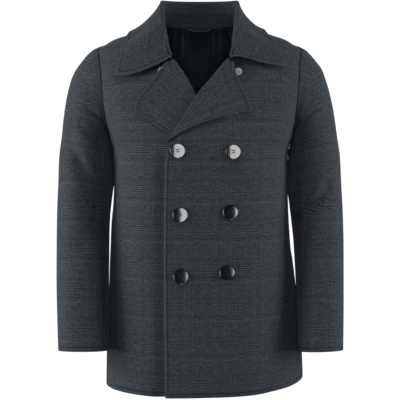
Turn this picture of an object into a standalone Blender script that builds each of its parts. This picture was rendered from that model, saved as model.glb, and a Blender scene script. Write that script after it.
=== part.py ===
"""A men's double-breasted pea coat in wool cloth, filled out as if worn, hollow and open at neck, hem and cuffs.

Metres, +Z up, the coat faces -Y, and left and right are the wearer's. The origin is at the height of the
neck, midway between the shoulders, where the wearer carries it.

Every piece of cloth is a grid of points on its middle surface, worked out from short tables, and a wall
built to both sides of that grid. Neighbours share the points of their seam and are moved apart by SEAM.
"""

import math

import bpy
import numpy as np
from mathutils import Vector
from mathutils.bvhtree import BVHTree

WALL = 0.0024
SEAM = 0.0003
LAYER = 0.0036
LINING_WALL = 0.0010
LINING_DROP, LINING_DIP = 0.15, 0.0008

SIDE_ROWS = 10
ROLL_ROWS = 9
NECK_ROWS = 5
ARM_ROWS = ROLL_ROWS + NECK_ROWS
FRONT_COLUMNS = 10
SHOULDER_COLUMNS = 5
NAPE_COLUMNS = 10
SLEEVE_RINGS = 24
UNDER_FROM, UNDER_TO = 10, 20
LAPEL_COLUMNS = 6
FOLD_STEPS = 4
LEAF_STEPS = 7

SHOULDER_HEIGHT = -0.057
ARMPIT_HEIGHT = -0.245
ARMHOLE_DEPTH = 0.066
NECK_POINT_HEIGHT = -0.006
NAPE_HEIGHT = -0.014

BUTTON_RADIUS = 0.0153
BUTTON_THICKNESS = 0.0040
BUTTON_HOLE_RADIUS = 0.0013
BUTTON_HOLE_SPREAD = 0.0031
BUTTON_STEPS = 18
NECK_BUTTON_RADIUS = 0.0072
NECK_BUTTON_THICKNESS = 0.0026
NECK_BUTTON_STEPS = 10
BUTTON_GAP = 0.0003
LOOP_HALF_LENGTH = 0.024
LOOP_WIDTH = 0.005
LOOP_WALL = 0.0012
LOOP_SAG = 0.0035
LOOP_GAP = 0.0006

BODY_COLUMNS = ("height", "shift", "side", "front", "back", "power")
BODY_RINGS = (
    (-0.790, 0.0110, 0.2092, 0.135, 0.122, 2.15),
    (-0.690, 0.0100, 0.2060, 0.135, 0.120, 2.15),
    (-0.580, 0.0070, 0.1980, 0.135, 0.117, 2.20),
    (-0.500, 0.0034, 0.1915, 0.135, 0.114, 2.30),
    (-0.476, 0.0020, 0.1888, 0.135, 0.113, 2.30),
    (-0.426, 0.0013, 0.1857, 0.136, 0.112, 2.35),
    (-0.380, 0.0023, 0.1823, 0.137, 0.113, 2.40),
    (-0.340, 0.0026, 0.1810, 0.137, 0.116, 2.40),
    (-0.300, 0.0023, 0.1813, 0.137, 0.120, 2.45),
    (-0.262, 0.0020, 0.1837, 0.136, 0.124, 2.50),
    (-0.245, 0.0030, 0.1900, 0.135, 0.125, 2.50),
    (-0.220, 0.0022, 0.1923, 0.133, 0.127, 2.50),
    (-0.1785, 0.0010, 0.1965, 0.128, 0.127, 2.40),
    (-0.127, 0.0010, 0.2005, 0.115, 0.122, 2.30),
    (-0.090, 0.0005, 0.2038, 0.100, 0.114, 2.20),
    (-0.057, 0.0000, 0.2086, 0.084, 0.104, 2.10),
    (-0.0545, 0.0, 0.1995, 0.0825, 0.103, 2.09),
    (-0.0422, 0.0, 0.1784, 0.075, 0.098, 2.05),
    (-0.0325, 0.0, 0.1500, 0.068, 0.094, 2.00),
    (-0.007, 0.0, 0.0850, 0.048, 0.081, 2.00),
    (0.006, 0.0, 0.0520, 0.035, 0.072, 2.00),
)

HEM_COLUMNS = ("angle", "height")
HEM = (
    (-180, -0.7620),
    (-90, -0.7660),
    (-30, -0.7680),
    (0, -0.7660),
    (30, -0.7645),
    (60, -0.7585),
    (90, -0.7500),
    (180, -0.7620),
)

EDGE_COLUMNS = ("height", "across")
LEFT_EDGE = (
    (-0.790, -0.0688),
    (-0.668, -0.0694),
    (-0.586, -0.0704),
    (-0.485, -0.0707),
    (-0.394, -0.0701),
    (-0.304, -0.0679),
    (-0.250, -0.0656),
    (-0.2385, -0.0572),
    (-0.1994, -0.0320),
    (-0.1576, -0.0052),
    (-0.1328, 0.0157),
    (-0.1081, 0.0362),
    (-0.0932, 0.0495),
    (-0.0784, 0.0628),
)
RIGHT_EDGE = (
    (-0.790, 0.0925),
    (-0.420, 0.0925),
    (-0.340, 0.0880),
    (-0.290, 0.0750),
    (-0.250, 0.0505),
    (-0.200, 0.0200),
    (-0.1557, -0.0066),
    (-0.1238, -0.0252),
    (-0.0812, -0.0554),
    (-0.0723, -0.0600),
)
LEFT_BREAK, RIGHT_BREAK, GORGE_HEIGHT = -0.250, -0.290, -0.082
EDGE_INSET = 0.0030
LIFT_MARGIN, LIFT_FADE = 0.014, 0.060
LAPEL_LAYERS = 1.35
EDGE_COLUMN = 0.045
EDGE_LIFT, EDGE_LIFT_REACH = 0.0032, 0.034
HOLLOW, HOLLOW_REACH = 0.0055, 0.028
NECKLINE = (
    (-0.082, 0.0655),
    (-0.055, 0.0700),
    (-0.035, 0.0750),
    (-0.020, 0.0790),
    (-0.012, 0.0815),
    (-0.006, 0.0826),
)

LAPEL_END_COLUMNS = ("row", "across", "height", "stand")
LEFT_LAPEL = (
    (0, -0.0640, -0.2490, 0.0000),
    (1, -0.0340, -0.2285, 0.0030),
    (2, 0.0010, -0.2128, 0.0045),
    (3, 0.0450, -0.2003, 0.0056),
    (4, 0.1033, -0.1865, 0.0050),
    (5, 0.0965, -0.1680, 0.0045),
    (6, 0.0885, -0.1500, 0.0035),
    (7, 0.0795, -0.1310, 0.0030),
    (8, 0.0705, -0.1095, 0.0030),
    (9, 0.0675, -0.0940, 0.0030),
)
RIGHT_LAPEL = (
    (0, 0.0600, -0.2885, 0.0000),
    (1, 0.0200, -0.2720, 0.0000),
    (2, -0.0300, -0.2500, 0.0000),
    (3, -0.0765, -0.2216, 0.0012),
    (4, -0.1288, -0.1835, 0.0030),
    (5, -0.1210, -0.1635, 0.0030),
    (6, -0.1060, -0.1450, 0.0030),
    (7, -0.0900, -0.1240, 0.0030),
    (8, -0.0765, -0.1050, 0.0036),
    (9, -0.0680, -0.0925, 0.0032),
)
FOLD_TIGHT, FOLD_SOFT = 0.0018, 0.0032

SLEEVE_COLUMNS = ("outer", "outer_height", "inner", "inner_height", "middle", "front", "back", "power", "rise")
RIGHT_SLEEVE = (
    (0.2086, -0.057, 0.1870, -0.2450, 0.000, 0.066, 0.066, 2.00, 0.00),
    (0.2195, -0.062, 0.1893, -0.2462, 0.000, 0.0655, 0.0680, 2.00, 0.00),
    (0.2310, -0.0710, 0.1888, -0.2540, 0.000, 0.0650, 0.0700, 2.00, 0.00),
    (0.2435, -0.0855, 0.1868, -0.2650, 0.002, 0.0655, 0.0730, 2.05, 0.00),
    (0.2558, -0.1014, 0.1843, -0.2780, 0.004, 0.0675, 0.0760, 2.10, 0.00),
    (0.2650, -0.1180, 0.1826, -0.2950, 0.006, 0.0700, 0.0780, 2.10, 0.00),
    (0.2742, -0.1480, 0.1816, -0.3130, 0.007, 0.0725, 0.0790, 2.10, 0.00),
    (0.2820, -0.1900, 0.1815, -0.3370, 0.006, 0.0740, 0.0780, 2.10, 0.00),
    (0.2885, -0.2450, 0.1838, -0.3580, 0.001, 0.074, 0.077, 2.10, 0.00),
    (0.2930, -0.2900, 0.1866, -0.3820, -0.005, 0.073, 0.075, 2.10, 0.00),
    (0.2944, -0.3390, 0.1885, -0.4080, -0.012, 0.071, 0.072, 2.10, 0.00),
    (0.2965, -0.4000, 0.1897, -0.4380, -0.020, 0.069, 0.069, 2.10, 0.00),
    (0.2969, -0.4600, 0.1900, -0.4770, -0.030, 0.066, 0.065, 2.10, 0.02),
    (0.2966, -0.5300, 0.1900, -0.5320, -0.042, 0.062, 0.060, 2.10, 0.05),
    (0.2950, -0.6000, 0.1896, -0.6000, -0.053, 0.058, 0.056, 2.10, 0.09),
    (0.2921, -0.6840, 0.1898, -0.6840, -0.064, 0.054, 0.052, 2.10, 0.15),
)
LEFT_SLEEVE = (
    (0.2086, -0.057, 0.1930, -0.2450, 0.000, 0.066, 0.066, 2.00, 0.00),
    (0.2185, -0.0622, 0.1950, -0.2462, 0.000, 0.0655, 0.0680, 2.00, 0.00),
    (0.2300, -0.0725, 0.1942, -0.2540, 0.000, 0.0650, 0.0700, 2.00, 0.00),
    (0.2435, -0.0885, 0.1923, -0.2650, 0.002, 0.0655, 0.0730, 2.05, 0.00),
    (0.2545, -0.1030, 0.1903, -0.2780, 0.004, 0.0675, 0.0760, 2.10, 0.00),
    (0.2625, -0.1240, 0.1880, -0.2950, 0.006, 0.0700, 0.0780, 2.10, 0.00),
    (0.2715, -0.1530, 0.1866, -0.3130, 0.007, 0.0725, 0.0790, 2.10, 0.00),
    (0.2795, -0.1900, 0.1866, -0.3370, 0.006, 0.0740, 0.0780, 2.10, 0.00),
    (0.2870, -0.2420, 0.1880, -0.3600, 0.002, 0.074, 0.077, 2.10, 0.00),
    (0.2928, -0.2850, 0.1902, -0.3850, -0.004, 0.073, 0.075, 2.10, 0.00),
    (0.2950, -0.3390, 0.1927, -0.4120, -0.012, 0.071, 0.072, 2.10, 0.00),
    (0.2980, -0.4000, 0.1957, -0.4400, -0.020, 0.069, 0.069, 2.10, 0.00),
    (0.2990, -0.4600, 0.1985, -0.4780, -0.030, 0.066, 0.065, 2.10, 0.02),
    (0.2982, -0.5300, 0.2008, -0.5310, -0.045, 0.062, 0.060, 2.10, 0.05),
    (0.2970, -0.6000, 0.2030, -0.6000, -0.061, 0.058, 0.056, 2.10, 0.09),
    (0.2952, -0.6800, 0.2040, -0.6830, -0.077, 0.054, 0.052, 2.10, 0.15),
)
SEAM_FADE_ROWS = 4.0
FOLD_COLUMNS = ("from_across", "from_height", "to_across", "to_height", "depth", "breadth")
RIGHT_FOLDS = (
    (-0.186, -0.246, -0.222, -0.176, 0.0070, 0.011),
    (-0.270, -0.240, -0.200, -0.420, 0.0065, 0.016),
    (-0.215, -0.420, -0.270, -0.500, 0.0030, 0.014),
)
LEFT_FOLDS = (
    (0.192, -0.244, 0.238, -0.184, 0.0070, 0.011),
    (0.262, -0.340, 0.204, -0.412, 0.0060, 0.014),
    (0.204, -0.412, 0.222, -0.470, 0.0040, 0.012),
)

ROLL_COLUMNS = ("turn", "left", "right", "depth", "height", "fold")
COLLAR_ROLL = (
    (0.00, 0.0000, 0.0000, 0.0850, 0.0432, 0.0055),
    (0.20, 0.0400, 0.0400, 0.0800, 0.0432, 0.0055),
    (0.35, 0.0655, 0.0655, 0.0630, 0.0430, 0.0055),
    (0.43, 0.0760, 0.0760, 0.0400, 0.0420, 0.0055),
    (0.50, 0.0778, 0.0778, 0.0160, 0.0350, 0.0053),
    (0.60, 0.0742, 0.0742, -0.0100, 0.0115, 0.0048),
    (0.70, 0.0712, 0.0708, -0.0330, -0.0105, 0.0045),
    (0.80, 0.0684, 0.0668, -0.0560, -0.0345, 0.0045),
    (0.90, 0.0660, 0.0625, -0.0790, -0.0570, 0.0043),
    (1.00, 0.0625, 0.0572, -0.0985, -0.0755, 0.0040),
)
LEAF_COLUMNS = ("turn", "angle", "height", "stand", "flare", "drop", "bow", "wave")
RIGHT_LEAF = (
    (0.00, 180.0, -0.0500, 0.0055, 0.50, 0.30, 0.0000, 0.0000),
    (0.25, 137.0, -0.0480, 0.0065, 0.50, 0.30, 0.0000, 0.0000),
    (0.42, 105.0, -0.0348, 0.0060, 0.30, 0.36, 0.0000, 0.0000),
    (0.50, 90.0, -0.0300, 0.0055, 0.20, 0.40, 0.0000, 0.0000),
    (0.60, 75.5, -0.0398, 0.0055, 0.25, 0.38, 0.0000, 0.0000),
    (0.70, 69.0, -0.0560, 0.0060, 0.40, 0.34, 0.0000, 0.0000),
    (0.80, 66.4, -0.0735, 0.0090, 0.50, 0.30, 0.0000, 0.0000),
    (0.90, 64.2, -0.0935, 0.0125, 0.60, 0.30, 0.0060, 0.0000),
    (1.00, 62.9, -0.1185, 0.0145, 0.70, 0.30, 0.0125, 0.0000),
)
LEFT_LEAF = (
    (0.00, 180.0, -0.0500, 0.0055, 0.50, 0.30, 0.0000, 0.0000),
    (0.25, 137.0, -0.0480, 0.0065, 0.45, 0.32, 0.0000, 0.0000),
    (0.42, 105.0, -0.0325, 0.0060, 0.15, 0.42, 0.0000, 0.0000),
    (0.50, 90.0, -0.0255, 0.0055, 0.05, 0.46, 0.0000, 0.0000),
    (0.60, 75.5, -0.0360, 0.0055, 0.10, 0.44, 0.0000, 0.0000),
    (0.70, 70.3, -0.0490, 0.0060, 0.20, 0.38, 0.0000, 0.0000),
    (0.80, 67.4, -0.0630, 0.0090, 0.40, 0.32, 0.0000, 0.0000),
    (0.90, 66.0, -0.0816, 0.0125, 0.60, 0.30, -0.0005, 0.0022),
    (1.00, 64.9, -0.1030, 0.0145, 0.70, 0.30, -0.0010, 0.0045),
)
GORGE_GAP = 0.22

BUTTON_COLUMNS = ("name", "across", "height")
BUTTONS = (
    ("button_top_inner", -0.0433, -0.2654),
    ("button_top_outer", 0.0670, -0.2674),
    ("button_middle_inner", -0.0387, -0.3934),
    ("button_middle_outer", 0.0616, -0.3884),
    ("button_bottom_inner", -0.0379, -0.5175),
    ("button_bottom_outer", 0.0551, -0.5106),
)
NECK_BUTTONS = (
    ("neck_button_left", 0.0775, -0.1087),
    ("neck_button_right", -0.0757, -0.1068),
)

MATERIALS = {
    "wool": ((0.045, 0.055, 0.062, 1.0), 0.85, 0.0),
    "lining": ((0.012, 0.013, 0.016, 1.0), 0.55, 0.0),
    "button": ((0.012, 0.012, 0.013, 1.0), 0.12, 0.0),
    "neck_button": ((0.45, 0.47, 0.49, 1.0), 0.30, 0.6),
}


def smooth(rows, names, name, at):
    """The named column at the given values of the first one, by a curve that never swings past its rows."""
    table = np.array(rows, float)
    x, y = table[:, 0], table[:, names.index(name)]
    step = np.diff(x)
    slope = np.diff(y) / step
    bend = np.zeros(len(x))
    bend[0], bend[-1] = slope[0], slope[-1]
    same = slope[:-1] * slope[1:] > 0
    bend[1:-1][same] = 2 * slope[:-1][same] * slope[1:][same] / (slope[:-1] + slope[1:])[same]
    at = np.clip(np.asarray(at, float), x[0], x[-1])
    i = np.clip(np.searchsorted(x, at) - 1, 0, len(x) - 2)
    t = (at - x[i]) / step[i]
    return (
        y[i] * (2 * t**3 - 3 * t**2 + 1)
        + y[i + 1] * (3 * t**2 - 2 * t**3)
        + bend[i] * step[i] * (t**3 - 2 * t**2 + t)
        + bend[i + 1] * step[i] * (t**3 - t**2)
    )


def ease(value, low, high):
    t = np.clip((np.asarray(value, float) - low) / (high - low), 0.0, 1.0)
    return t * t * (3 - 2 * t)


def unit(vectors):
    return vectors / np.maximum(np.linalg.norm(vectors, axis=-1, keepdims=True), 1e-12)


def mix(a, b, share):
    return a + (b - a) * share


def armhole_half_depth(height):
    middle = (SHOULDER_HEIGHT + ARMPIT_HEIGHT) / 2
    half = (SHOULDER_HEIGHT - ARMPIT_HEIGHT) / 2
    return ARMHOLE_DEPTH * np.sqrt(np.clip(1 - ((np.asarray(height) - middle) / half) ** 2, 0, 1))


def body_ring(height):
    """Sizes of the ring at a height. In the armhole's reach the ring is widened so that it passes the seam."""
    sizes = {name: smooth(BODY_RINGS, BODY_COLUMNS, name, height) for name in BODY_COLUMNS[1:]}
    open_share = (armhole_half_depth(height) / sizes["front"]) ** sizes["power"]
    sizes["width"] = sizes["side"] / (1 - open_share) ** (1 / sizes["power"])
    return sizes


def form(angle, height):
    """A point of the body's form. The angle is 0 in front, 90 degrees at the left side and 180 behind."""
    ring = body_ring(height)
    depth = np.where(np.cos(angle) > 0, ring["front"], ring["back"])
    reach = (
        np.abs(np.sin(angle) / ring["width"]) ** ring["power"] + np.abs(np.cos(angle) / depth) ** ring["power"]
    ) ** (-1 / ring["power"])
    across = ring["shift"] + reach * np.sin(angle)
    return np.stack([across, -reach * np.cos(angle), height + 0 * across], axis=-1)


def form_normal(angle, height):
    turn, rise = 0.002, 0.0005
    around = form(angle + turn, height) - form(angle - turn, height)
    upward = form(angle, height + rise) - form(angle, height - rise)
    return unit(np.cross(around, upward))


def angle_at(across, height):
    """The angle at which the front of the form crosses a distance from the middle."""
    ring = body_ring(height)
    offset = across - ring["shift"]
    share = np.clip(np.abs(offset) / ring["width"], 0, 0.9999)
    depth = ring["front"] * (1 - share ** ring["power"]) ** (1 / ring["power"])
    return np.arctan2(offset, depth)


def push_out(points, least):
    """Points moved out along the form's slope until each lies at least this far outside it."""
    points = np.array(points, float)
    shift = 0.0002

    def outside(where):
        ring = body_ring(where[..., 2])
        depth = np.where(where[..., 1] < 0, ring["front"], ring["back"])
        across = np.abs((where[..., 0] - ring["shift"]) / ring["width"]) ** ring["power"]
        return (across + np.abs(where[..., 1] / depth) ** ring["power"]) ** (1 / ring["power"]) - 1

    for _ in range(4):
        value = outside(points)
        slope = np.stack([outside(points + step) - outside(points - step) for step in shift * np.eye(3)], axis=-1)
        slope /= 2 * shift
        steep = np.maximum(np.linalg.norm(slope, axis=-1), 1.0)
        short = np.maximum(least - value / steep, 0)
        points += slope / steep[..., None] * short[..., None]
    return points


def hem(angle):
    degrees = (np.degrees(angle) + 180) % 360 - 180
    return smooth(HEM, HEM_COLUMNS, "height", degrees)


def armhole_height(row):
    middle = (SHOULDER_HEIGHT + ARMPIT_HEIGHT) / 2
    return middle - (SHOULDER_HEIGHT - ARMPIT_HEIGHT) / 2 * math.cos(math.pi * row / ARM_ROWS)


def armhole_angle(height, behind):
    """The angle from the front (or from behind) at which the armhole's seam lies, on the left side."""
    ring = body_ring(height)
    depth = armhole_half_depth(height)
    if behind:
        return math.pi - np.arctan2(ring["side"], depth * ring["back"] / ring["front"])
    return np.arctan2(ring["side"], depth)


def lift_left(across, height):
    """How far the left front lies out, over the right front and, higher up, also over the right lapel."""
    under = smooth(RIGHT_EDGE, EDGE_COLUMNS, "across", height) + LIFT_MARGIN
    layers = 1 + LAPEL_LAYERS * ease(height, RIGHT_BREAK - 2 * LIFT_MARGIN, RIGHT_BREAK)
    from_edge = across - smooth(LEFT_EDGE, EDGE_COLUMNS, "across", height)
    edge = EDGE_LIFT * (1 - ease(from_edge, 0.0, EDGE_LIFT_REACH)) * closed_share(height)
    return LAYER * layers * (1 - ease(across, under, under + LIFT_FADE)) + edge


def closed_share(height):
    """1 where the fronts are buttoned, falling to 0 towards the lapels."""
    return 1 - ease(height, -0.300, -0.252)


def hollow_right(across, height):
    """How far the right front sinks in beside the left front's edge."""
    beside = smooth(LEFT_EDGE, EDGE_COLUMNS, "across", height)
    reach = ease(across, beside - HOLLOW_REACH, beside) * (1 - ease(across, beside + 0.03, beside + 0.08))
    return HOLLOW * reach * closed_share(height)


def front_grid(side):
    """Angles and heights of a front: rows from hem to shoulder, columns from the front edge to side and armhole."""
    edge = LEFT_EDGE if side > 0 else RIGHT_EDGE
    break_height = LEFT_BREAK if side > 0 else RIGHT_BREAK
    angles, heights = [], []
    share = np.insert(np.linspace(0, 1, FRONT_COLUMNS + 1), 1, EDGE_COLUMN)
    for row in range(SIDE_ROWS + ARM_ROWS + 1):
        if row <= SIDE_ROWS:
            up = row / SIDE_ROWS
            inner_angle = 0.0
            for _ in range(3):
                inner_height = mix(hem(inner_angle), break_height, up)
                across = smooth(edge, EDGE_COLUMNS, "across", inner_height) + side * EDGE_INSET * ease(up, 0.9, 1)
                inner_angle = angle_at(across, inner_height)
            outer_angle = side * math.pi / 2
            outer_height = mix(hem(outer_angle), ARMPIT_HEIGHT, up)
            angle = mix(inner_angle, outer_angle, share)
            height = mix(hem(angle), mix(break_height, ARMPIT_HEIGHT, share), up)
        else:
            above = row - SIDE_ROWS
            if above <= ROLL_ROWS:
                inner_height = mix(break_height, GORGE_HEIGHT, above / ROLL_ROWS)
                across = smooth(edge, EDGE_COLUMNS, "across", inner_height) + side * EDGE_INSET
            else:
                inner_height = NECKLINE[above - ROLL_ROWS][0]
                across = side * NECKLINE[above - ROLL_ROWS][1]
            inner_angle = angle_at(across, inner_height)
            if above == ARM_ROWS:
                inner_angle = side * math.pi / 2
            outer_height = armhole_height(above)
            outer_angle = side * armhole_angle(outer_height, False)
            angle = mix(inner_angle, outer_angle, share)
            height = mix(inner_height, outer_height, share)
        angles.append(angle)
        heights.append(height)
    return np.array(angles), np.array(heights)


def back_grid():
    """The back: columns from the left side round to the right one, the top row along shoulders and nape."""
    columns = 2 * SHOULDER_COLUMNS + NAPE_COLUMNS
    share = np.linspace(0, 1, columns + 1)
    low_angle = mix(math.pi / 2, 3 * math.pi / 2, share)
    top_angle = np.empty(columns + 1)
    top_height = np.empty(columns + 1)
    for j in range(columns + 1):
        from_side = min(j, columns - j)
        if from_side <= SHOULDER_COLUMNS:
            top_angle[j] = math.pi / 2 if 2 * j < columns else 3 * math.pi / 2
            top_height[j] = mix(SHOULDER_HEIGHT, NECK_POINT_HEIGHT, from_side / SHOULDER_COLUMNS)
        else:
            turn = (j - SHOULDER_COLUMNS) / NAPE_COLUMNS
            top_angle[j] = mix(math.pi / 2, 3 * math.pi / 2, turn)
            top_height[j] = mix(NECK_POINT_HEIGHT, NAPE_HEIGHT, math.sin(math.pi * turn))
    angles, heights = [], []
    for row in range(SIDE_ROWS + ARM_ROWS + 1):
        if row <= SIDE_ROWS:
            angles.append(low_angle)
            heights.append(mix(hem(low_angle), ARMPIT_HEIGHT, row / SIDE_ROWS))
            continue
        up = (row - SIDE_ROWS) / ARM_ROWS
        side_height = armhole_height(row - SIDE_ROWS)
        left_angle = armhole_angle(side_height, True)
        right_angle = 2 * math.pi - left_angle
        side_line = mix(left_angle, right_angle, share)
        angles.append(mix(low_angle, top_angle, up) + side_line - low_angle)
        heights.append(mix(ARMPIT_HEIGHT, top_height, up) + side_height - mix(ARMPIT_HEIGHT, SHOULDER_HEIGHT, up))
    return np.array(angles), np.array(heights)


def grid_normals(points, toward=None, closed=False):
    """Normals of a grid by its neighbours' differences, all turned to the side on which `toward` lies."""
    if closed:
        across = np.roll(points, -1, axis=1) - np.roll(points, 1, axis=1)
    else:
        across = np.gradient(points, axis=1)
    along = np.gradient(points, axis=0)
    normals = unit(np.cross(across, along))
    if toward is not None and np.sum(normals * toward) < 0:
        normals = -normals
    return normals


def wall(name, points, normals, material, thickness=WALL, whole=False):
    """A closed wall of even thickness around a grid of middle points.

    A whole piece runs across the back from left to right, so its cells are cut the other way on the right
    side, as those of the pieces it meets are. Along its rim each cell is cut by where its ends lie, so that
    two neighbours' rims are cut alike.
    """
    rows, columns = points.shape[:2]
    outer = points + normals * thickness / 2
    inner = points - normals * thickness / 2
    vertices = np.concatenate([outer.reshape(-1, 3), inner.reshape(-1, 3)])
    under = rows * columns
    faces = []
    for i in range(rows - 1):
        for j in range(columns - 1):
            a, b = i * columns + j, i * columns + j + 1
            c, d = b + columns, a + columns
            if whole and points[i, j, 0] + points[i + 1, j + 1, 0] < 0:
                a, b, c, d = b, c, d, a
            faces += [(a, b, c), (a, c, d)]
            faces += [(under + c, under + b, under + a), (under + d, under + c, under + a)]
    border = [(0, j) for j in range(columns - 1)] + [(i, columns - 1) for i in range(rows - 1)]
    border += [(rows - 1, j) for j in range(columns - 1, 0, -1)] + [(i, 0) for i in range(rows - 1, 0, -1)]
    ring = [i * columns + j for i, j in border]
    flat = points.reshape(-1, 3)
    rank = np.abs(flat[:, 0]) * 0.3 + flat[:, 1] * 0.2 + flat[:, 2]
    for a, b in zip(ring, ring[1:] + ring[:1]):
        if rank[a] > rank[b]:
            faces += [(b, a, under + b), (a, under + a, under + b)]
        else:
            faces += [(b, a, under + a), (b, under + a, under + b)]
    mesh = bpy.data.meshes.new(name)
    mesh.from_pydata([tuple(v) for v in vertices], [], faces)
    corners = vertices[np.array(faces)]
    if np.sum(corners[:, 0] * np.cross(corners[:, 1], corners[:, 2])) < 0:
        mesh.flip_normals()
    return place(name, mesh, material)


def place(name, mesh, material):
    made = bpy.data.objects.new(name, mesh)
    mesh.materials.append(material)
    mesh.shade_smooth()
    mesh.set_sharp_from_angle(angle=math.radians(40))
    bpy.data.collections["pea coat"].objects.link(made)
    return made


def material(name):
    colour, roughness, metallic = MATERIALS[name]
    made = bpy.data.materials.new(name)
    made.use_nodes = True
    shader = made.node_tree.nodes["Principled BSDF"]
    shader.inputs["Base Color"].default_value = colour
    shader.inputs["Roughness"].default_value = roughness
    shader.inputs["Metallic"].default_value = metallic
    made.diffuse_color = colour
    return made


def body_grids():
    """Middle points and normals of the two fronts and the back, before their seams are parted."""
    grids = {}
    for name, side in (("front_left", 1), ("front_right", -1)):
        angles, heights = front_grid(side)
        points, normals = form(angles, heights), form_normal(angles, heights)
        if side > 0:
            points = points + normals * lift_left(points[..., 0], points[..., 2])[..., None]
        else:
            points = points - normals * hollow_right(points[..., 0], points[..., 2])[..., None]
        grids[name] = [points, normals]
    angles, heights = back_grid()
    grids["back"] = [form(angles, heights), form_normal(angles, heights)]
    return grids


def sleeve_grid(side, grids):
    """Rings from the armhole to the cuff. Ring point 0 is on top and the points run over the front."""
    rows = RIGHT_SLEEVE if side < 0 else LEFT_SLEEVE
    numbered = tuple((i,) + row for i, row in enumerate(rows))
    names = ("row",) + SLEEVE_COLUMNS
    front = grids["front_left" if side > 0 else "front_right"]
    back = grids["back"]
    back_column = 0 if side > 0 else -1
    upward = slice(SIDE_ROWS, SIDE_ROWS + ARM_ROWS + 1)
    front_edge = [part[upward, -1][::-1] for part in front]
    back_edge = [part[upward, back_column] for part in back]
    seam = [np.concatenate([f[:-1], b[:-1]]) for f, b in zip(front_edge, back_edge)]
    count = 2 * ARM_ROWS
    phase = 2 * math.pi * np.arange(count) / count
    points = []
    for ring in range(SLEEVE_RINGS + 1):
        at = (len(rows) - 1) * ring / SLEEVE_RINGS
        size = {name: float(smooth(numbered, names, name, at)) for name in SLEEVE_COLUMNS}
        power = size["power"]
        reach = (np.abs(np.cos(phase)) ** power + np.abs(np.sin(phase)) ** power) ** (-1 / power)
        outward, forward = reach * np.cos(phase), reach * np.sin(phase)
        depth = np.where(forward > 0, size["front"], size["back"])
        half_width = (size["outer"] - size["inner"]) / 2
        half_height = (size["outer_height"] - size["inner_height"]) / 2
        across = (size["outer"] + size["inner"]) / 2 + half_width * outward
        height = (size["outer_height"] + size["inner_height"]) / 2 + half_height * outward
        points.append(
            np.stack(
                [side * across, size["middle"] - depth * forward, height + size["rise"] * depth * forward], axis=-1
            )
        )
    points = np.array(points)
    off_seam = seam[0] - points[0]
    for ring in range(SLEEVE_RINGS + 1):
        at = (len(rows) - 1) * ring / SLEEVE_RINGS
        points[ring] += off_seam * (1 - ease(at, 0, SEAM_FADE_ROWS))
    outward = points - points.mean(axis=1, keepdims=True)
    normals = grid_normals(points, outward, closed=True)
    facing = ease(-normals[..., 1], -0.2, 0.5)
    for x0, z0, x1, z1, depth, breadth in RIGHT_FOLDS if side < 0 else LEFT_FOLDS:
        line = np.array([x1 - x0, z1 - z0])
        offset = points[..., [0, 2]] - np.array([x0, z0])
        along = np.clip(offset @ line / (line @ line), 0, 1)
        apart = np.linalg.norm(offset - along[..., None] * line, axis=-1)
        dent = depth * np.exp(-((apart / breadth) ** 2)) * facing
        dent[0] = 0
        points = points - normals * dent[..., None]
    return points, grid_normals(points, outward, closed=True), seam


def sleeves(grids, wool):
    """Both two-piece sleeves, and the armhole borders of the body's pieces turned to meet them."""
    for side, name in ((1, "left"), (-1, "right")):
        points, normals, seam = sleeve_grid(side, grids)
        shared = unit(seam[1] + normals[0])
        away = unit(points[1] - points[0])
        tangent = unit(np.roll(seam[0], -1, axis=0) - np.roll(seam[0], 1, axis=0))
        aside = unit(np.cross(tangent, shared))
        aside *= np.sign(np.sum(aside * away, axis=-1, keepdims=True))
        normals[0] = shared
        points[0] = seam[0] + aside * SEAM / 2
        body = seam[0] - aside * SEAM / 2
        upward = slice(SIDE_ROWS, SIDE_ROWS + ARM_ROWS + 1)
        front = grids["front_left" if side > 0 else "front_right"]
        back_column = 0 if side > 0 else -1
        around = np.arange(ARM_ROWS + 1)
        behind = (ARM_ROWS + around) % (2 * ARM_ROWS)
        front[0][upward, -1] = body[around][::-1]
        front[1][upward, -1] = shared[around][::-1]
        grids["back"][0][upward, back_column] = body[behind]
        grids["back"][1][upward, back_column] = shared[behind]
        count = 2 * ARM_ROWS
        under = np.arange(UNDER_FROM, UNDER_TO + 1)
        upper = np.arange(UNDER_TO, count + UNDER_FROM + 1) % count
        for part, columns in (("upper", upper), ("under", under)):
            piece, facing = points[:, columns].copy(), normals[:, columns].copy()
            for border, inner in ((0, 1), (-1, -2)):
                step = unit(piece[:, inner] - piece[:, border])
                piece[:, border] += step * SEAM / 2
            wall(f"sleeve_{name}_{part}", piece, facing, wool)


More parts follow.
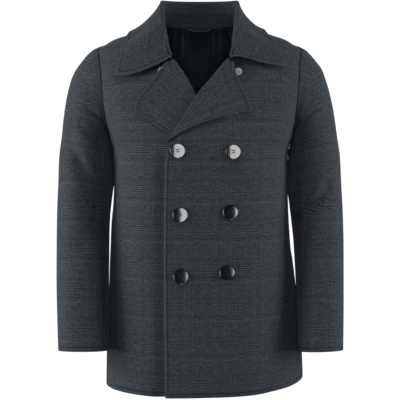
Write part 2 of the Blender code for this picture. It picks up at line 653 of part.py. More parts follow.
def lapel(name, side, grids, wool):
    """A lapel: it rolls over the front's edge and lies back on it, each row a chord of the cloth."""
    rows = LEFT_LAPEL if side > 0 else RIGHT_LAPEL
    front = grids["front_left" if side > 0 else "front_right"]
    span = slice(SIDE_ROWS, SIDE_ROWS + ROLL_ROWS + 1)
    edge, normal = front[0][span, 0].copy(), front[1][span, 0].copy()
    edge[-1] = mix(edge[-1], edge[-2], GORGE_GAP)
    tangent = unit(np.gradient(edge, axis=0))
    away = unit(np.cross(tangent, normal))
    away *= np.sign(np.sum(away * (edge - front[0][span, 1])))
    points = []
    for i in range(ROLL_ROWS + 1):
        fold = mix(FOLD_TIGHT, FOLD_SOFT, ease(i / ROLL_ROWS, 0.5, 1.0))
        line = []
        for k in range(FOLD_STEPS + 1):
            turn = math.pi * k / FOLD_STEPS
            line.append(edge[i] + away[i] * (fold * math.sin(turn)) + normal[i] * fold * (1 - math.cos(turn)))
        _, end_across, end_height, end_stand = rows[i]
        for k in range(1, LAPEL_COLUMNS + 1):
            share = k / LAPEL_COLUMNS
            across = mix(edge[i, 0], end_across, share)
            height = mix(edge[i, 2], end_height, share)
            angle = angle_at(across, height)
            above = LAYER + (2 * fold - LAYER) * (1 - share) ** 2 + end_stand * share**2
            if side > 0:
                above += lift_left(across, height)
            line.append(form(angle, height) + form_normal(angle, height) * above)
        points.append(line)
    points = np.array(points)
    points[:, 0] += away * SEAM / 2
    front[0][span, 0][:-1] -= (away * SEAM / 2)[:-1]
    normals = grid_normals(points)
    if np.sum(normals[:, 0] * normal) < 0:
        normals = -normals
    normals[:, 0] = normal
    wall(name, points, normals, wool)


def collar(grids, wool):
    """Stand and fall as one folded band, a section for each point of the neck's seam."""
    top = SIDE_ROWS + ROLL_ROWS
    left, right, back = grids["front_left"], grids["front_right"], grids["back"]
    nape = slice(SHOULDER_COLUMNS, SHOULDER_COLUMNS + NAPE_COLUMNS + 1)
    seam = []
    for part in (0, 1):
        seam.append(
            np.concatenate([left[part][top:, 0], back[part][-1, nape][1:-1], right[part][top:, 0][::-1]])
        )
    neck, normal = seam
    turns = np.concatenate(
        [
            np.linspace(1.0, 0.5, NECK_ROWS + 1),
            np.linspace(0.5, -0.5, NAPE_COLUMNS + 1)[1:-1],
            np.linspace(-0.5, -1.0, NECK_ROWS + 1),
        ]
    )
    points = []
    for i, turn in enumerate(turns):
        side = 1 if turn >= 0 else -1
        at = abs(turn)
        place_names = ("left" if side > 0 else "right", "depth", "height")
        roll = np.array([smooth(COLLAR_ROLL, ROLL_COLUMNS, name, at) for name in place_names])
        roll[0] *= side
        fold = float(smooth(COLLAR_ROLL, ROLL_COLUMNS, "fold", at))
        leaf = LEFT_LEAF if side > 0 else RIGHT_LEAF
        angle = side * math.radians(float(smooth(leaf, LEAF_COLUMNS, "angle", at)))
        height = float(smooth(leaf, LEAF_COLUMNS, "height", at))
        stand = float(smooth(leaf, LEAF_COLUMNS, "stand", at))
        flare = float(smooth(leaf, LEAF_COLUMNS, "flare", at))
        drop = float(smooth(leaf, LEAF_COLUMNS, "drop", at))
        bow = float(smooth(leaf, LEAF_COLUMNS, "bow", at))
        wave = float(smooth(leaf, LEAF_COLUMNS, "wave", at))
        edge = form(angle, height) + form_normal(angle, height) * stand
        upward = unit(roll - neck[i])
        outward = unit(normal[i] - upward * np.dot(normal[i], upward))
        centre = roll - upward * fold
        line = [neck[i], mix(neck[i], centre - outward * fold, 0.5)]
        for k in range(FOLD_STEPS + 1):
            turned = math.pi * k / FOLD_STEPS
            line.append(centre - outward * fold * math.cos(turned) + upward * fold * math.sin(turned))
        start = line[-1]
        length = np.linalg.norm(edge - start)
        first = start + (outward * flare - upward) * length * drop
        second = mix(first, edge, 0.5)
        t = (np.arange(1, LEAF_STEPS + 1) / LEAF_STEPS)[:, None]
        fall = start * (1 - t) ** 3 + 3 * first * t * (1 - t) ** 2 + 3 * second * t**2 * (1 - t) + edge * t**3
        straight = start[2] + (edge[2] - start[2]) * t[:, 0] - bow * 6.75 * t[:, 0] ** 2 * (1 - t[:, 0])
        straight = straight + wave * np.sin(2 * math.pi * t[:, 0])
        fall[:, 2] = mix(fall[:, 2], straight, ease(at, 0.8, 1.0))
        line.extend(push_out(fall, mix(2 * fold, stand, ease(t[:, 0], 0, 0.6))))
        points.append(line)
    points = np.array(points)
    normals = grid_normals(points)
    if np.sum(normals[:, 0] * normal) < 0:
        normals = -normals
    shared = unit(normals[:, 0] + normal)
    shared[[0, -1]] = normal[[0, -1]]
    tangent = unit(np.gradient(neck, axis=0))
    aside = unit(np.cross(tangent, shared))
    aside *= np.sign(np.sum(aside * (points[:, 1] - points[:, 0]), axis=-1, keepdims=True))
    normals[:, 0] = shared
    points[:, 0] = neck + aside * SEAM / 2
    body = neck - aside * SEAM / 2
    front_count = NECK_ROWS + 1
    left[0][top:, 0], left[1][top:, 0] = body[:front_count], shared[:front_count]
    right[0][top:, 0], right[1][top:, 0] = body[-front_count:][::-1], shared[-front_count:][::-1]
    middle = slice(front_count - 1, len(turns) - front_count + 1)
    back[0][-1, nape], back[1][-1, nape] = body[middle], shared[middle]
    wall("collar", points, normals, wool, whole=True)


def part_body_seams(grids):
    """Side and shoulder seams: each border steps back from its neighbour by half of the gap."""
    for name in ("front_left", "front_right"):
        points = grids[name][0]
        low = slice(0, SIDE_ROWS + 1)
        points[low, -1] += unit(points[low, -2] - points[low, -1]) * SEAM / 2
        points[-1] += unit(points[-2] - points[-1]) * SEAM / 2
    points = grids["back"][0]
    low = slice(0, SIDE_ROWS + 1)
    for border, inner in ((0, 1), (-1, -2)):
        points[low, border] += unit(points[low, inner] - points[low, border]) * SEAM / 2
    for columns in (slice(0, SHOULDER_COLUMNS + 1), slice(-SHOULDER_COLUMNS - 1, None)):
        points[-1, columns] += unit(points[-2, columns] - points[-1, columns]) * SEAM / 2


def lining(points, normals, cloth):
    """The upper back's lining, made from the back's own points moved inward."""
    rows = slice(SIDE_ROWS - 1, None)
    columns = slice(3, -3)
    inset = WALL / 2 + SEAM + LINING_WALL / 2
    inner = points[rows, columns] - normals[rows, columns] * inset
    inner[-1] = mix(inner[-1], inner[-2], LINING_DROP) - normals[-1, columns] * LINING_DIP
    wall("lining_back", inner, normals[rows, columns], cloth, LINING_WALL, whole=True)


def hanger_loop(cloth):
    """A narrow tape hung inside the neck, its ends close under the collar."""
    along = np.linspace(-1, 1, 9)
    lines = []
    for drop in (0.0, LOOP_WIDTH):
        height = NAPE_HEIGHT - 0.005 - LOOP_SAG * (1 - along**4) * 0.6 - drop
        angle = math.pi - along * LOOP_HALF_LENGTH / 0.083
        point = form(angle, height)
        inward = WALL / 2 + 2 * SEAM + LINING_WALL + LOOP_GAP + LOOP_WALL / 2 + LOOP_SAG * (1 - along**4) * 0.8
        lines.append(point - form_normal(angle, height) * inward[:, None])
    points = np.array(lines)
    wall("hanger_loop", points, grid_normals(points, np.array([0.0, -1.0, 0.0])), cloth, LOOP_WALL)


def button_mesh(name, radius, thickness, steps):
    """A turned button with a raised rim round a shallow dish, cut through by four holes."""
    profile = (
        (0.0, 0.62 * thickness),
        (0.74 * radius, 0.62 * thickness),
        (0.90 * radius, thickness),
        (radius, 0.70 * thickness),
        (0.84 * radius, 0.0),
        (0.0, 0.0),
    )
    mesh = bpy.data.meshes.new(name)
    mesh.from_pydata([(r, 0.0, z) for r, z in profile], [(i, i + 1) for i in range(len(profile) - 1)], [])
    turned = bpy.data.objects.new(name, mesh)
    bpy.context.scene.collection.objects.link(turned)
    screw = turned.modifiers.new("turn", "SCREW")
    screw.steps = screw.render_steps = steps
    screw.use_merge_vertices = True
    screw.merge_threshold = 0.00005
    cutters = []
    for k in range(4):
        phase = math.pi / 4 + k * math.pi / 2
        spread = BUTTON_HOLE_SPREAD * radius / BUTTON_RADIUS
        bpy.ops.mesh.primitive_cylinder_add(
            vertices=6,
            radius=BUTTON_HOLE_RADIUS * radius / BUTTON_RADIUS,
            depth=4 * thickness,
            location=(spread * math.cos(phase), spread * math.sin(phase), 0.0),
        )
        cutter = bpy.context.object
        cutter.name = f"{name}_hole_{k}"
        cutters.append(cutter)
        cut = turned.modifiers.new("hole", "BOOLEAN")
        cut.object = cutter
    graph = bpy.context.evaluated_depsgraph_get()
    made = bpy.data.meshes.new_from_object(turned.evaluated_get(graph))
    made.name = name
    for helper in cutters + [turned]:
        bpy.data.objects.remove(helper)
    return made


def sew_on(name, mesh, radius, front, across, height):
    """Seats a button on a front, square to the cloth under it and just clear of its highest point there."""
    cloth = bpy.data.objects[front].data
    tree = BVHTree.FromPolygons([v.co for v in cloth.vertices], [p.vertices for p in cloth.polygons])
    hits = []
    for share in (0.0, 0.5, 0.9):
        for k in range(12):
            turn = k * math.pi / 6
            over = Vector((across + share * radius * math.cos(turn), -1.0, height + share * radius * math.sin(turn)))
            hits.append(tree.ray_cast(over, Vector((0.0, 1.0, 0.0)))[:2])
    normal = sum((facing for _, facing in hits), Vector()).normalized()
    middle = hits[0][0]
    highest = max((point - middle).dot(normal) for point, _ in hits)
    made = bpy.data.objects.new(name, mesh)
    bpy.data.collections["pea coat"].objects.link(made)
    made.rotation_euler = normal.to_track_quat("Z", "Y").to_euler()
    made.location = middle + normal * (highest + BUTTON_GAP)


def buttons(gloss, pale):
    large = button_mesh("button", BUTTON_RADIUS, BUTTON_THICKNESS, BUTTON_STEPS)
    large.materials.append(gloss)
    for name, across, height in BUTTONS:
        sew_on(name, large, BUTTON_RADIUS, "front_left", across, height)
    small = button_mesh("neck_button", NECK_BUTTON_RADIUS, NECK_BUTTON_THICKNESS, NECK_BUTTON_STEPS)
    small.materials.append(pale)
    for name, across, height in NECK_BUTTONS:
        front = "front_left" if across > 0 else "front_right"
        sew_on(name, small, NECK_BUTTON_RADIUS, front, across, height)


def build():
    for old in list(bpy.data.objects):
        bpy.data.objects.remove(old)
    bpy.context.scene.collection.children.link(bpy.data.collections.new("pea coat"))
    wool, dark = material("wool"), material("lining")
    grids = body_grids()
    lining(*grids["back"], dark)
    part_body_seams(grids)
    sleeves(grids, wool)
    lapel("lapel_left", 1, grids, wool)
    lapel("lapel_right", -1, grids, wool)
    collar(grids, wool)
    for name, (points, normals) in grids.items():
        wall(name, points, normals, wool, whole=name == "back")
    hanger_loop(dark)
    buttons(material("button"), material("neck_button"))


build()
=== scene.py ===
import math

import bpy
import numpy as np
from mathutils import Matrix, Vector
from mathutils.bvhtree import BVHTree


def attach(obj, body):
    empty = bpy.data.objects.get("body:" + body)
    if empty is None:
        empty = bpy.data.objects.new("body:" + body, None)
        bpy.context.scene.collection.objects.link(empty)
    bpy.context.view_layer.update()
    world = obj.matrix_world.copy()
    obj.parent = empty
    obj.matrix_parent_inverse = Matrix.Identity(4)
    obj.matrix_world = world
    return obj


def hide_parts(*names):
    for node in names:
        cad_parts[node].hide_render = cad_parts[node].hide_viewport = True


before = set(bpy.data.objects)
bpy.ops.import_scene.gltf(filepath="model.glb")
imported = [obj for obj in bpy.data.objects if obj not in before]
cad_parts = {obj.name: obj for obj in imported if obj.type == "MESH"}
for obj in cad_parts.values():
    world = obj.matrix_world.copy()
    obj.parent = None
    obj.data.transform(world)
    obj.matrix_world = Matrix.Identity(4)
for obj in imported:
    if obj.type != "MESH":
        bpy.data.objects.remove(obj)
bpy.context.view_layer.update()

coat = bpy.data.collections.new("pea coat")
bpy.context.scene.collection.children.link(coat)

# camera first: where it stands decides nothing about the coat, only the view
view = {"place": (0.0, -2.5, -0.16), "tilt": math.atan(0.0864), "lens": 107.1, "shift": 0.001}
cameraData = bpy.data.cameras.new("view")
cameraData.lens = view["lens"]
cameraData.sensor_width = 36.0
cameraData.shift_x = view["shift"]
camera = bpy.data.objects.new("view", cameraData)
camera.location = view["place"]
camera.rotation_euler = (math.pi / 2 - view["tilt"], 0.0, 0.0)
bpy.context.scene.collection.objects.link(camera)
bpy.context.scene.camera = camera


# ---- sizes shared by every piece of cloth, in metres
cloth = {
    "thickness": 0.0024,
    "seamGap": 0.00005,
    "layer": 0.0036,
    "finer": 5,  # cells for each row and column of the pattern
    "rimSteps": 4,
}
pattern = {
    "sideRows": 10,
    "rollRows": 9,
    "neckRows": 5,
    "frontColumns": 10,
    "shoulderColumns": 5,
    "napeColumns": 10,
    "sleeveRings": 24,
    "underFrom": 10,
    "underTo": 20,
    "lapelColumns": 6,
    "leafSteps": 7,
    "foldSteps": 10,
}
pattern["armRows"] = pattern["rollRows"] + pattern["neckRows"]

body = {
    "shoulderHeight": -0.057,
    "armpitHeight": -0.245,
    "armholeDepth": 0.066,
    "neckPointHeight": -0.006,
    "napeHeight": -0.014,
    "gorgeHeight": -0.082,
    "leftBreak": -0.25,
    "rightBreak": -0.29,
    "edgeInset": 0.003,
    "liftMargin": 0.014,
    "liftFade": 0.06,
    "lapelLayers": 1.35,
    # where the finer columns beside a front's edge lie, as shares of its breadth
    "nearEdge": (0.0, 0.0035, 0.0075, 0.012, 0.017, 0.022, 0.028, 0.035, 0.045, 0.058, 0.075, 0.1),
    "closed": (-0.3, -0.252),  # buttoned below the first height, open above the second
    "edgeLift": 0.0032,
    "edgeLiftReach": 0.034,
    "edgeRoll": 0.0026,
    "edgeRollReach": 0.0045,
    "hollow": 0.0062,
    "hollowReach": 0.028,
    "hollowEnd": (0.03, 0.08),
    "uvLevel": -0.35,
    "perDegree": 0.0029,  # metres of cloth around the body
    "creasesFrom": (0.09, 0.2),  # how far below the neck they begin
    "names": ("height", "shift", "side", "front", "back", "power"),
    "rings": [
        (-0.79, 0.011, 0.2092, 0.135, 0.122, 2.15),
        (-0.69, 0.01, 0.206, 0.135, 0.12, 2.15),
        (-0.58, 0.007, 0.198, 0.135, 0.117, 2.2),
        (-0.5, 0.0034, 0.1915, 0.135, 0.114, 2.3),
        (-0.476, 0.002, 0.1888, 0.135, 0.113, 2.3),
        (-0.426, 0.0013, 0.1857, 0.136, 0.112, 2.35),
        (-0.38, 0.0023, 0.1823, 0.137, 0.113, 2.4),
        (-0.34, 0.0026, 0.181, 0.137, 0.116, 2.4),
        (-0.3, 0.0023, 0.1813, 0.137, 0.12, 2.45),
        (-0.262, 0.002, 0.1837, 0.136, 0.124, 2.5),
        (-0.245, 0.003, 0.19, 0.135, 0.125, 2.5),
        (-0.22, 0.0022, 0.1923, 0.133, 0.127, 2.5),
        (-0.1785, 0.001, 0.1965, 0.128, 0.127, 2.4),
        (-0.127, 0.001, 0.2005, 0.115, 0.122, 2.3),
        (-0.09, 0.0005, 0.2038, 0.1, 0.114, 2.2),
        (-0.057, 0.0, 0.2086, 0.084, 0.104, 2.1),
        (-0.0545, 0.0, 0.1995, 0.0825, 0.103, 2.09),
        (-0.0422, 0.0, 0.1784, 0.075, 0.098, 2.05),
        (-0.0325, 0.0, 0.15, 0.068, 0.094, 2.0),
        (-0.007, 0.0, 0.085, 0.048, 0.081, 2.0),
        (0.006, 0.0, 0.052, 0.035, 0.072, 2.0),
    ],
    "hemNames": ("angle", "height"),
    "hem": [
        (-180, -0.762),
        (-90, -0.766),
        (-30, -0.768),
        (0, -0.766),
        (30, -0.7645),
        (60, -0.7585),
        (90, -0.75),
        (180, -0.762),
    ],
    "edgeNames": ("height", "across"),
    "leftEdge": [
        (-0.79, -0.0688),
        (-0.668, -0.0694),
        (-0.586, -0.0704),
        (-0.485, -0.0707),
        (-0.394, -0.0701),
        (-0.304, -0.0679),
        (-0.25, -0.0656),
        (-0.2385, -0.0572),
        (-0.1994, -0.032),
        (-0.1576, -0.0052),
        (-0.1328, 0.0157),
        (-0.1081, 0.0362),
        (-0.0932, 0.0495),
        (-0.0784, 0.0628),
    ],
    "rightEdge": [
        (-0.79, 0.0925),
        (-0.42, 0.0925),
        (-0.34, 0.088),
        (-0.29, 0.075),
        (-0.25, 0.0505),
        (-0.2, 0.02),
        (-0.1557, -0.0066),
        (-0.1238, -0.0252),
        (-0.0812, -0.0554),
        (-0.0723, -0.06),
    ],
    "necklineNames": ("row", "height", "across"),
    "neckline": [
        (1, -0.055, 0.07),
        (2, -0.035, 0.075),
        (3, -0.02, 0.079),
        (4, -0.012, 0.0815),
        (5, -0.006, 0.0826),
    ],
    # soft troughs (minus) and ridges (plus): angle in degrees and height at both ends, depth, breadth
    "creases": [
        (150, -0.3, 205, -0.345, -0.0016, 0.02),
        (200, -0.36, 150, -0.4, -0.0014, 0.018),
        (128, -0.25, 112, -0.33, -0.002, 0.016),
        (232, -0.25, 247, -0.32, -0.002, 0.016),
        (62, -0.262, 84, -0.33, -0.0014, 0.014),
        (-58, -0.262, -82, -0.325, -0.0014, 0.014),
        (170, -0.78, 176, -0.56, 0.0018, 0.03),
        (132, -0.78, 140, -0.52, -0.002, 0.028),
        (222, -0.78, 214, -0.54, -0.0018, 0.03),
        (40, -0.78, 46, -0.6, 0.001, 0.026),
        (-52, -0.78, -44, -0.62, 0.001, 0.026),
    ],
}

lapels = {
    "names": ("row", "across", "height", "stand"),
    "left": [
        (0, -0.064, -0.249, 0.0),
        (1, -0.034, -0.2285, 0.004),
        (2, 0.001, -0.2128, 0.0062),
        (3, 0.045, -0.2003, 0.0082),
        (4, 0.1033, -0.1865, 0.0088),
        (5, 0.0965, -0.168, 0.0084),
        (6, 0.0885, -0.15, 0.0074),
        (7, 0.0795, -0.131, 0.0064),
        (8, 0.0705, -0.1095, 0.0054),
        (9, 0.0675, -0.094, 0.004),
    ],
    "right": [
        (0, 0.06, -0.2885, 0.0),
        (1, 0.02, -0.272, 0.0),
        (2, -0.03, -0.25, 0.0),
        (3, -0.0765, -0.2216, 0.0024),
        (4, -0.1288, -0.1835, 0.006),
        (5, -0.121, -0.1635, 0.0064),
        (6, -0.106, -0.145, 0.006),
        (7, -0.09, -0.124, 0.0055),
        (8, -0.0765, -0.105, 0.0054),
        (9, -0.068, -0.0925, 0.0042),
    ],
    "tipRow": 4,
    "foldTight": 0.0018,
    "foldSoft": 0.0032,
    "gorgeGap": 0.22,
}

sleeveSizes = {
    # both sleeves share the last four columns, which stand in a table of their own
    "names": (
        "row", "outer", "outerHeight", "inner", "innerHeight", "middle", "front", "back", "power", "rise"
    ),
    "right": [
        (0, 0.2086, -0.057, 0.187, -0.245, 0.0),
        (1, 0.2195, -0.062, 0.1893, -0.2462, 0.0),
        (2, 0.231, -0.071, 0.1878, -0.254, 0.0),
        (3, 0.2435, -0.0855, 0.1857, -0.265, 0.002),
        (4, 0.2558, -0.1014, 0.1843, -0.278, 0.004),
        (5, 0.265, -0.118, 0.1826, -0.295, 0.006),
        (6, 0.2742, -0.148, 0.1816, -0.313, 0.007),
        (7, 0.282, -0.19, 0.1815, -0.337, 0.006),
        (8, 0.2885, -0.245, 0.1838, -0.358, 0.001),
        (9, 0.293, -0.29, 0.1866, -0.382, -0.005),
        (10, 0.2944, -0.339, 0.1885, -0.408, -0.012),
        (11, 0.2965, -0.4, 0.1897, -0.438, -0.02),
        (12, 0.2969, -0.46, 0.19, -0.477, -0.03),
        (13, 0.2966, -0.53, 0.19, -0.532, -0.042),
        (14, 0.295, -0.6, 0.1896, -0.6, -0.053),
        (15, 0.2921, -0.684, 0.1898, -0.684, -0.064),
    ],
    "left": [
        (0, 0.2086, -0.057, 0.193, -0.245, 0.0),
        (1, 0.2185, -0.0622, 0.195, -0.2462, 0.0),
        (2, 0.23, -0.0725, 0.1931, -0.254, 0.0),
        (3, 0.2435, -0.0885, 0.191, -0.265, 0.002),
        (4, 0.2545, -0.103, 0.1887, -0.278, 0.004),
        (5, 0.2625, -0.124, 0.188, -0.295, 0.006),
        (6, 0.2715, -0.153, 0.1866, -0.313, 0.007),
        (7, 0.2795, -0.19, 0.1862, -0.337, 0.006),
        (8, 0.287, -0.242, 0.1872, -0.36, 0.002),
        (9, 0.2928, -0.285, 0.1902, -0.385, -0.004),
        (10, 0.295, -0.339, 0.1927, -0.412, -0.012),
        (11, 0.298, -0.4, 0.1957, -0.44, -0.02),
        (12, 0.299, -0.46, 0.1985, -0.478, -0.03),
        (13, 0.2982, -0.53, 0.2008, -0.531, -0.045),
        (14, 0.297, -0.6, 0.203, -0.6, -0.061),
        (15, 0.2952, -0.68, 0.204, -0.683, -0.077),
    ],
    "depths": [
        (0.066, 0.066, 2.0, 0.0), (0.0655, 0.068, 2.0, 0.0), (0.065, 0.07, 2.0, 0.0),
        (0.0655, 0.073, 2.05, 0.0), (0.0675, 0.076, 2.1, 0.0), (0.07, 0.078, 2.1, 0.0),
        (0.0725, 0.079, 2.1, 0.0), (0.074, 0.078, 2.1, 0.0), (0.074, 0.077, 2.1, 0.0),
        (0.073, 0.075, 2.1, 0.0), (0.071, 0.072, 2.1, 0.0), (0.069, 0.069, 2.1, 0.0),
        (0.066, 0.065, 2.1, 0.02), (0.062, 0.06, 2.1, 0.05), (0.058, 0.056, 2.1, 0.09),
        (0.054, 0.052, 2.1, 0.15),
    ],
    "seamFadeRows": 4.0,
    "uvStart": -0.16,
    "foldFacing": (-0.2, 0.5),
    # the painted shade where the sleeve hangs close to the body, fading away from it and starting below the
    # armpit
    "shade": 0.42,
    "shadeReach": (0.004, 0.032),
    "shadeFrom": (0.34, 0.44),
    # troughs along paths of (across, height) from below the armpit up and outwards, across the arm and at
    # the elbow: depth where the path starts, depth where it ends, breadth, and 1 in front or -1 behind
    "rightFolds": [
        ([(-0.19, -0.229), (-0.198, -0.212), (-0.2105, -0.1965), (-0.229, -0.18)], 0.006, 0.0015, 0.0052, 1),
        ([(-0.202, -0.236), (-0.215, -0.215), (-0.25, -0.195)], 0.003, 0.001, 0.012, 1),
        ([(-0.276, -0.332), (-0.226, -0.364)], 0.0035, 0.002, 0.0065, 1),
        ([(-0.27, -0.24), (-0.2, -0.42)], 0.007, 0.004, 0.015, 1),
        ([(-0.215, -0.42), (-0.27, -0.5)], 0.003, 0.0018, 0.014, 1),
        ([(-0.204, -0.256), (-0.24, -0.222)], 0.004, 0.002, 0.0075, 1),
        ([(-0.246, -0.285), (-0.194, -0.365)], 0.004, 0.0024, 0.008, 1),
        ([(-0.25, -0.36), (-0.196, -0.455)], 0.003, 0.0018, 0.009, 1),
        ([(-0.193, -0.25), (-0.232, -0.19)], 0.0055, 0.003, 0.011, -1),
        ([(-0.28, -0.33), (-0.205, -0.4)], 0.005, 0.003, 0.015, -1),
        ([(-0.205, -0.44), (-0.28, -0.47)], 0.0035, 0.002, 0.012, -1),
    ],
    "leftFolds": [
        ([(0.194, -0.226), (0.209, -0.2125), (0.227, -0.1945), (0.24, -0.181)], 0.006, 0.0015, 0.005, 1),
        ([(0.204, -0.238), (0.215, -0.222), (0.25, -0.205)], 0.0028, 0.001, 0.011, 1),
        ([(0.264, -0.346), (0.222, -0.384), (0.204, -0.412)], 0.008, 0.006, 0.009, 1),
        ([(0.204, -0.412), (0.222, -0.47)], 0.005, 0.003, 0.01, 1),
        ([(0.208, -0.259), (0.24, -0.24)], 0.004, 0.002, 0.0075, 1),
        ([(0.262, -0.44), (0.206, -0.52)], 0.0025, 0.0015, 0.012, 1),
        ([(0.199, -0.25), (0.236, -0.196)], 0.0055, 0.003, 0.011, -1),
        ([(0.284, -0.345), (0.212, -0.41)], 0.005, 0.003, 0.015, -1),
        ([(0.21, -0.455), (0.276, -0.48)], 0.0035, 0.002, 0.012, -1),
    ],
}

collarSizes = {
    "rollNames": ("turn", "left", "right", "depth", "height", "fold"),
    "roll": [
        (0.0, 0.0, 0.0, 0.085, 0.0432, 0.0055),
        (0.2, 0.04, 0.04, 0.08, 0.0432, 0.0055),
        (0.35, 0.0655, 0.0655, 0.063, 0.043, 0.0055),
        (0.43, 0.076, 0.076, 0.04, 0.042, 0.0055),
        (0.5, 0.0778, 0.0778, 0.016, 0.035, 0.0053),
        (0.6, 0.0742, 0.0742, -0.01, 0.0115, 0.0048),
        (0.7, 0.0712, 0.0708, -0.033, -0.0105, 0.0045),
        (0.8, 0.0684, 0.0668, -0.056, -0.0345, 0.0045),
        (0.9, 0.066, 0.0625, -0.079, -0.057, 0.0043),
        (1.0, 0.0625, 0.0572, -0.0985, -0.0755, 0.004),
    ],
    "leafNames": ("turn", "angle", "height", "stand", "flare", "drop", "bow", "wave"),
    "rightLeaf": [
        (0.0, 180.0, -0.05, 0.0055, 0.5, 0.3, 0.0, 0.0),
        (0.25, 137.0, -0.048, 0.0065, 0.5, 0.3, 0.0, 0.0),
        (0.42, 105.0, -0.0348, 0.006, 0.3, 0.36, 0.0, 0.0),
        (0.5, 90.0, -0.03, 0.0055, 0.2, 0.4, 0.0, 0.0),
        (0.6, 75.5, -0.0398, 0.0055, 0.25, 0.38, 0.0, 0.0),
        (0.7, 69.0, -0.056, 0.006, 0.4, 0.34, 0.0, 0.0),
        (0.8, 66.4, -0.0735, 0.009, 0.5, 0.3, 0.0, 0.0),
        (0.9, 64.2, -0.0935, 0.0125, 0.6, 0.3, 0.006, 0.0),
        (1.0, 62.9, -0.1185, 0.0145, 0.7, 0.3, 0.0125, 0.0),
    ],
    "leftLeaf": [
        (0.0, 180.0, -0.05, 0.0055, 0.5, 0.3, 0.0, 0.0),
        (0.25, 137.0, -0.048, 0.0065, 0.45, 0.32, 0.0, 0.0),
        (0.42, 105.0, -0.0325, 0.006, 0.15, 0.42, 0.0, 0.0),
        (0.5, 90.0, -0.0255, 0.0055, 0.05, 0.46, 0.0, 0.0),
        (0.6, 75.5, -0.036, 0.0055, 0.1, 0.44, 0.0, 0.0),
        (0.7, 70.3, -0.049, 0.006, 0.2, 0.38, 0.0, 0.0),
        (0.8, 67.4, -0.063, 0.009, 0.4, 0.32, 0.0, 0.0),
        (0.9, 66.0, -0.0816, 0.0125, 0.6, 0.3, -0.0005, 0.0022),
        (1.0, 64.9, -0.103, 0.0145, 0.7, 0.3, -0.001, 0.0045),
    ],
}


# ---- small helpers
def smoothAt(rows, names, name, at):
    # a curve through the named column that never swings past its rows
    table = np.array(rows, float)
    x, y = table[:, 0], table[:, names.index(name)]
    step = np.diff(x)
    slope = np.diff(y) / step
    bend = np.zeros(len(x))
    bend[0], bend[-1] = slope[0], slope[-1]
    same = slope[:-1] * slope[1:] > 0
    bend[1:-1][same] = 2 * slope[:-1][same] * slope[1:][same] / (slope[:-1] + slope[1:])[same]
    at = np.clip(np.asarray(at, float), x[0], x[-1])
    i = np.clip(np.searchsorted(x, at) - 1, 0, len(x) - 2)
    t = (at - x[i]) / step[i]
    return (
        y[i] * (2 * t**3 - 3 * t**2 + 1)
        + y[i + 1] * (3 * t**2 - 2 * t**3)
        + bend[i] * step[i] * (t**3 - 2 * t**2 + t)
        + bend[i + 1] * step[i] * (t**3 - t**2)
    )


def sizesAt(rows, names, at):
    return {name: smoothAt(rows, names, name, at) for name in names[1:]}


def edgeAt(side, height):
    # how far across a front's finished edge lies
    return smoothAt(body["leftEdge" if side > 0 else "rightEdge"], body["edgeNames"], "across", height)


def ease(value, low, high):
    t = np.clip((np.asarray(value, float) - low) / (high - low), 0.0, 1.0)
    return t * t * (3 - 2 * t)


def unit(vectors):
    return vectors / np.maximum(np.linalg.norm(vectors, axis=-1, keepdims=True), 1e-12)


def mix(a, b, share):
    return a + (b - a) * share


def lineDent(offsetX, offsetY, lineX, lineY, breadth):
    # 1 on a line from the offsets' zero, fading to both sides
    length2 = lineX**2 + lineY**2
    along = np.clip((offsetX * lineX + offsetY * lineY) / length2, 0, 1)
    apart = np.hypot(offsetX - along * lineX, offsetY - along * lineY)
    fade = ease(along, 0.0, 0.15) * 0.5 + 0.5
    return np.exp(-((apart / breadth) ** 2)) * fade * (1 - 0.4 * ease(along, 0.6, 1.0))


def pathDent(across, height, path, startDepth, endDepth, breadth):
    # depth of a trough along a path, from its start's depth to its end's
    corners = np.array(path)
    lengths = np.linalg.norm(np.diff(corners, axis=0), axis=1)
    dent = np.zeros(np.shape(across))
    before = 0.0
    for (x0, z0), (x1, z1), length in zip(corners, corners[1:], lengths):
        along = np.clip(((across - x0) * (x1 - x0) + (height - z0) * (z1 - z0)) / length**2, 0, 1)
        apart = np.hypot(across - x0 - along * (x1 - x0), height - z0 - along * (z1 - z0))
        share = (before + along * length) / lengths.sum()
        dent = np.maximum(dent, mix(startDepth, endDepth, share) * np.exp(-((apart / breadth) ** 2)))
        before += length
    return dent


# ---- the body's form: angle 0 in front, 90 degrees at the left side, 180 behind
armholeMiddle = (body["shoulderHeight"] + body["armpitHeight"]) / 2
armholeHalf = (body["shoulderHeight"] - body["armpitHeight"]) / 2


def armholeHalfDepth(height):
    share = (np.asarray(height) - armholeMiddle) / armholeHalf
    return body["armholeDepth"] * np.sqrt(np.clip(1 - share**2, 0, 1))


def bodyRing(height):
    ring = sizesAt(body["rings"], body["names"], height)
    openShare = (armholeHalfDepth(height) / ring["front"]) ** ring["power"]
    ring["width"] = ring["side"] / (1 - openShare) ** (1 / ring["power"])
    return ring


def creaseAt(angle, height):
    wrapped = np.degrees(angle) % 360
    total = 0.0
    for fromAngle, fromHeight, toAngle, toHeight, depth, breadth in body["creases"]:
        offset = ((wrapped - fromAngle + 180) % 360 - 180) * body["perDegree"]
        line = (toAngle - fromAngle) * body["perDegree"]
        total = total + depth * lineDent(offset, height - fromHeight, line, toHeight - fromHeight, breadth)
    return total


def form(angle, height):
    ring = bodyRing(height)
    depth = np.where(np.cos(angle) > 0, ring["front"], ring["back"])
    power = ring["power"]
    reach = np.abs(np.sin(angle) / ring["width"]) ** power + np.abs(np.cos(angle) / depth) ** power
    begun = ease(-np.asarray(height, float), *body["creasesFrom"])
    reach = reach ** (-1 / power) + creaseAt(angle, height) * begun
    across = ring["shift"] + reach * np.sin(angle)
    return np.stack([across, -reach * np.cos(angle), height + 0 * across], axis=-1)


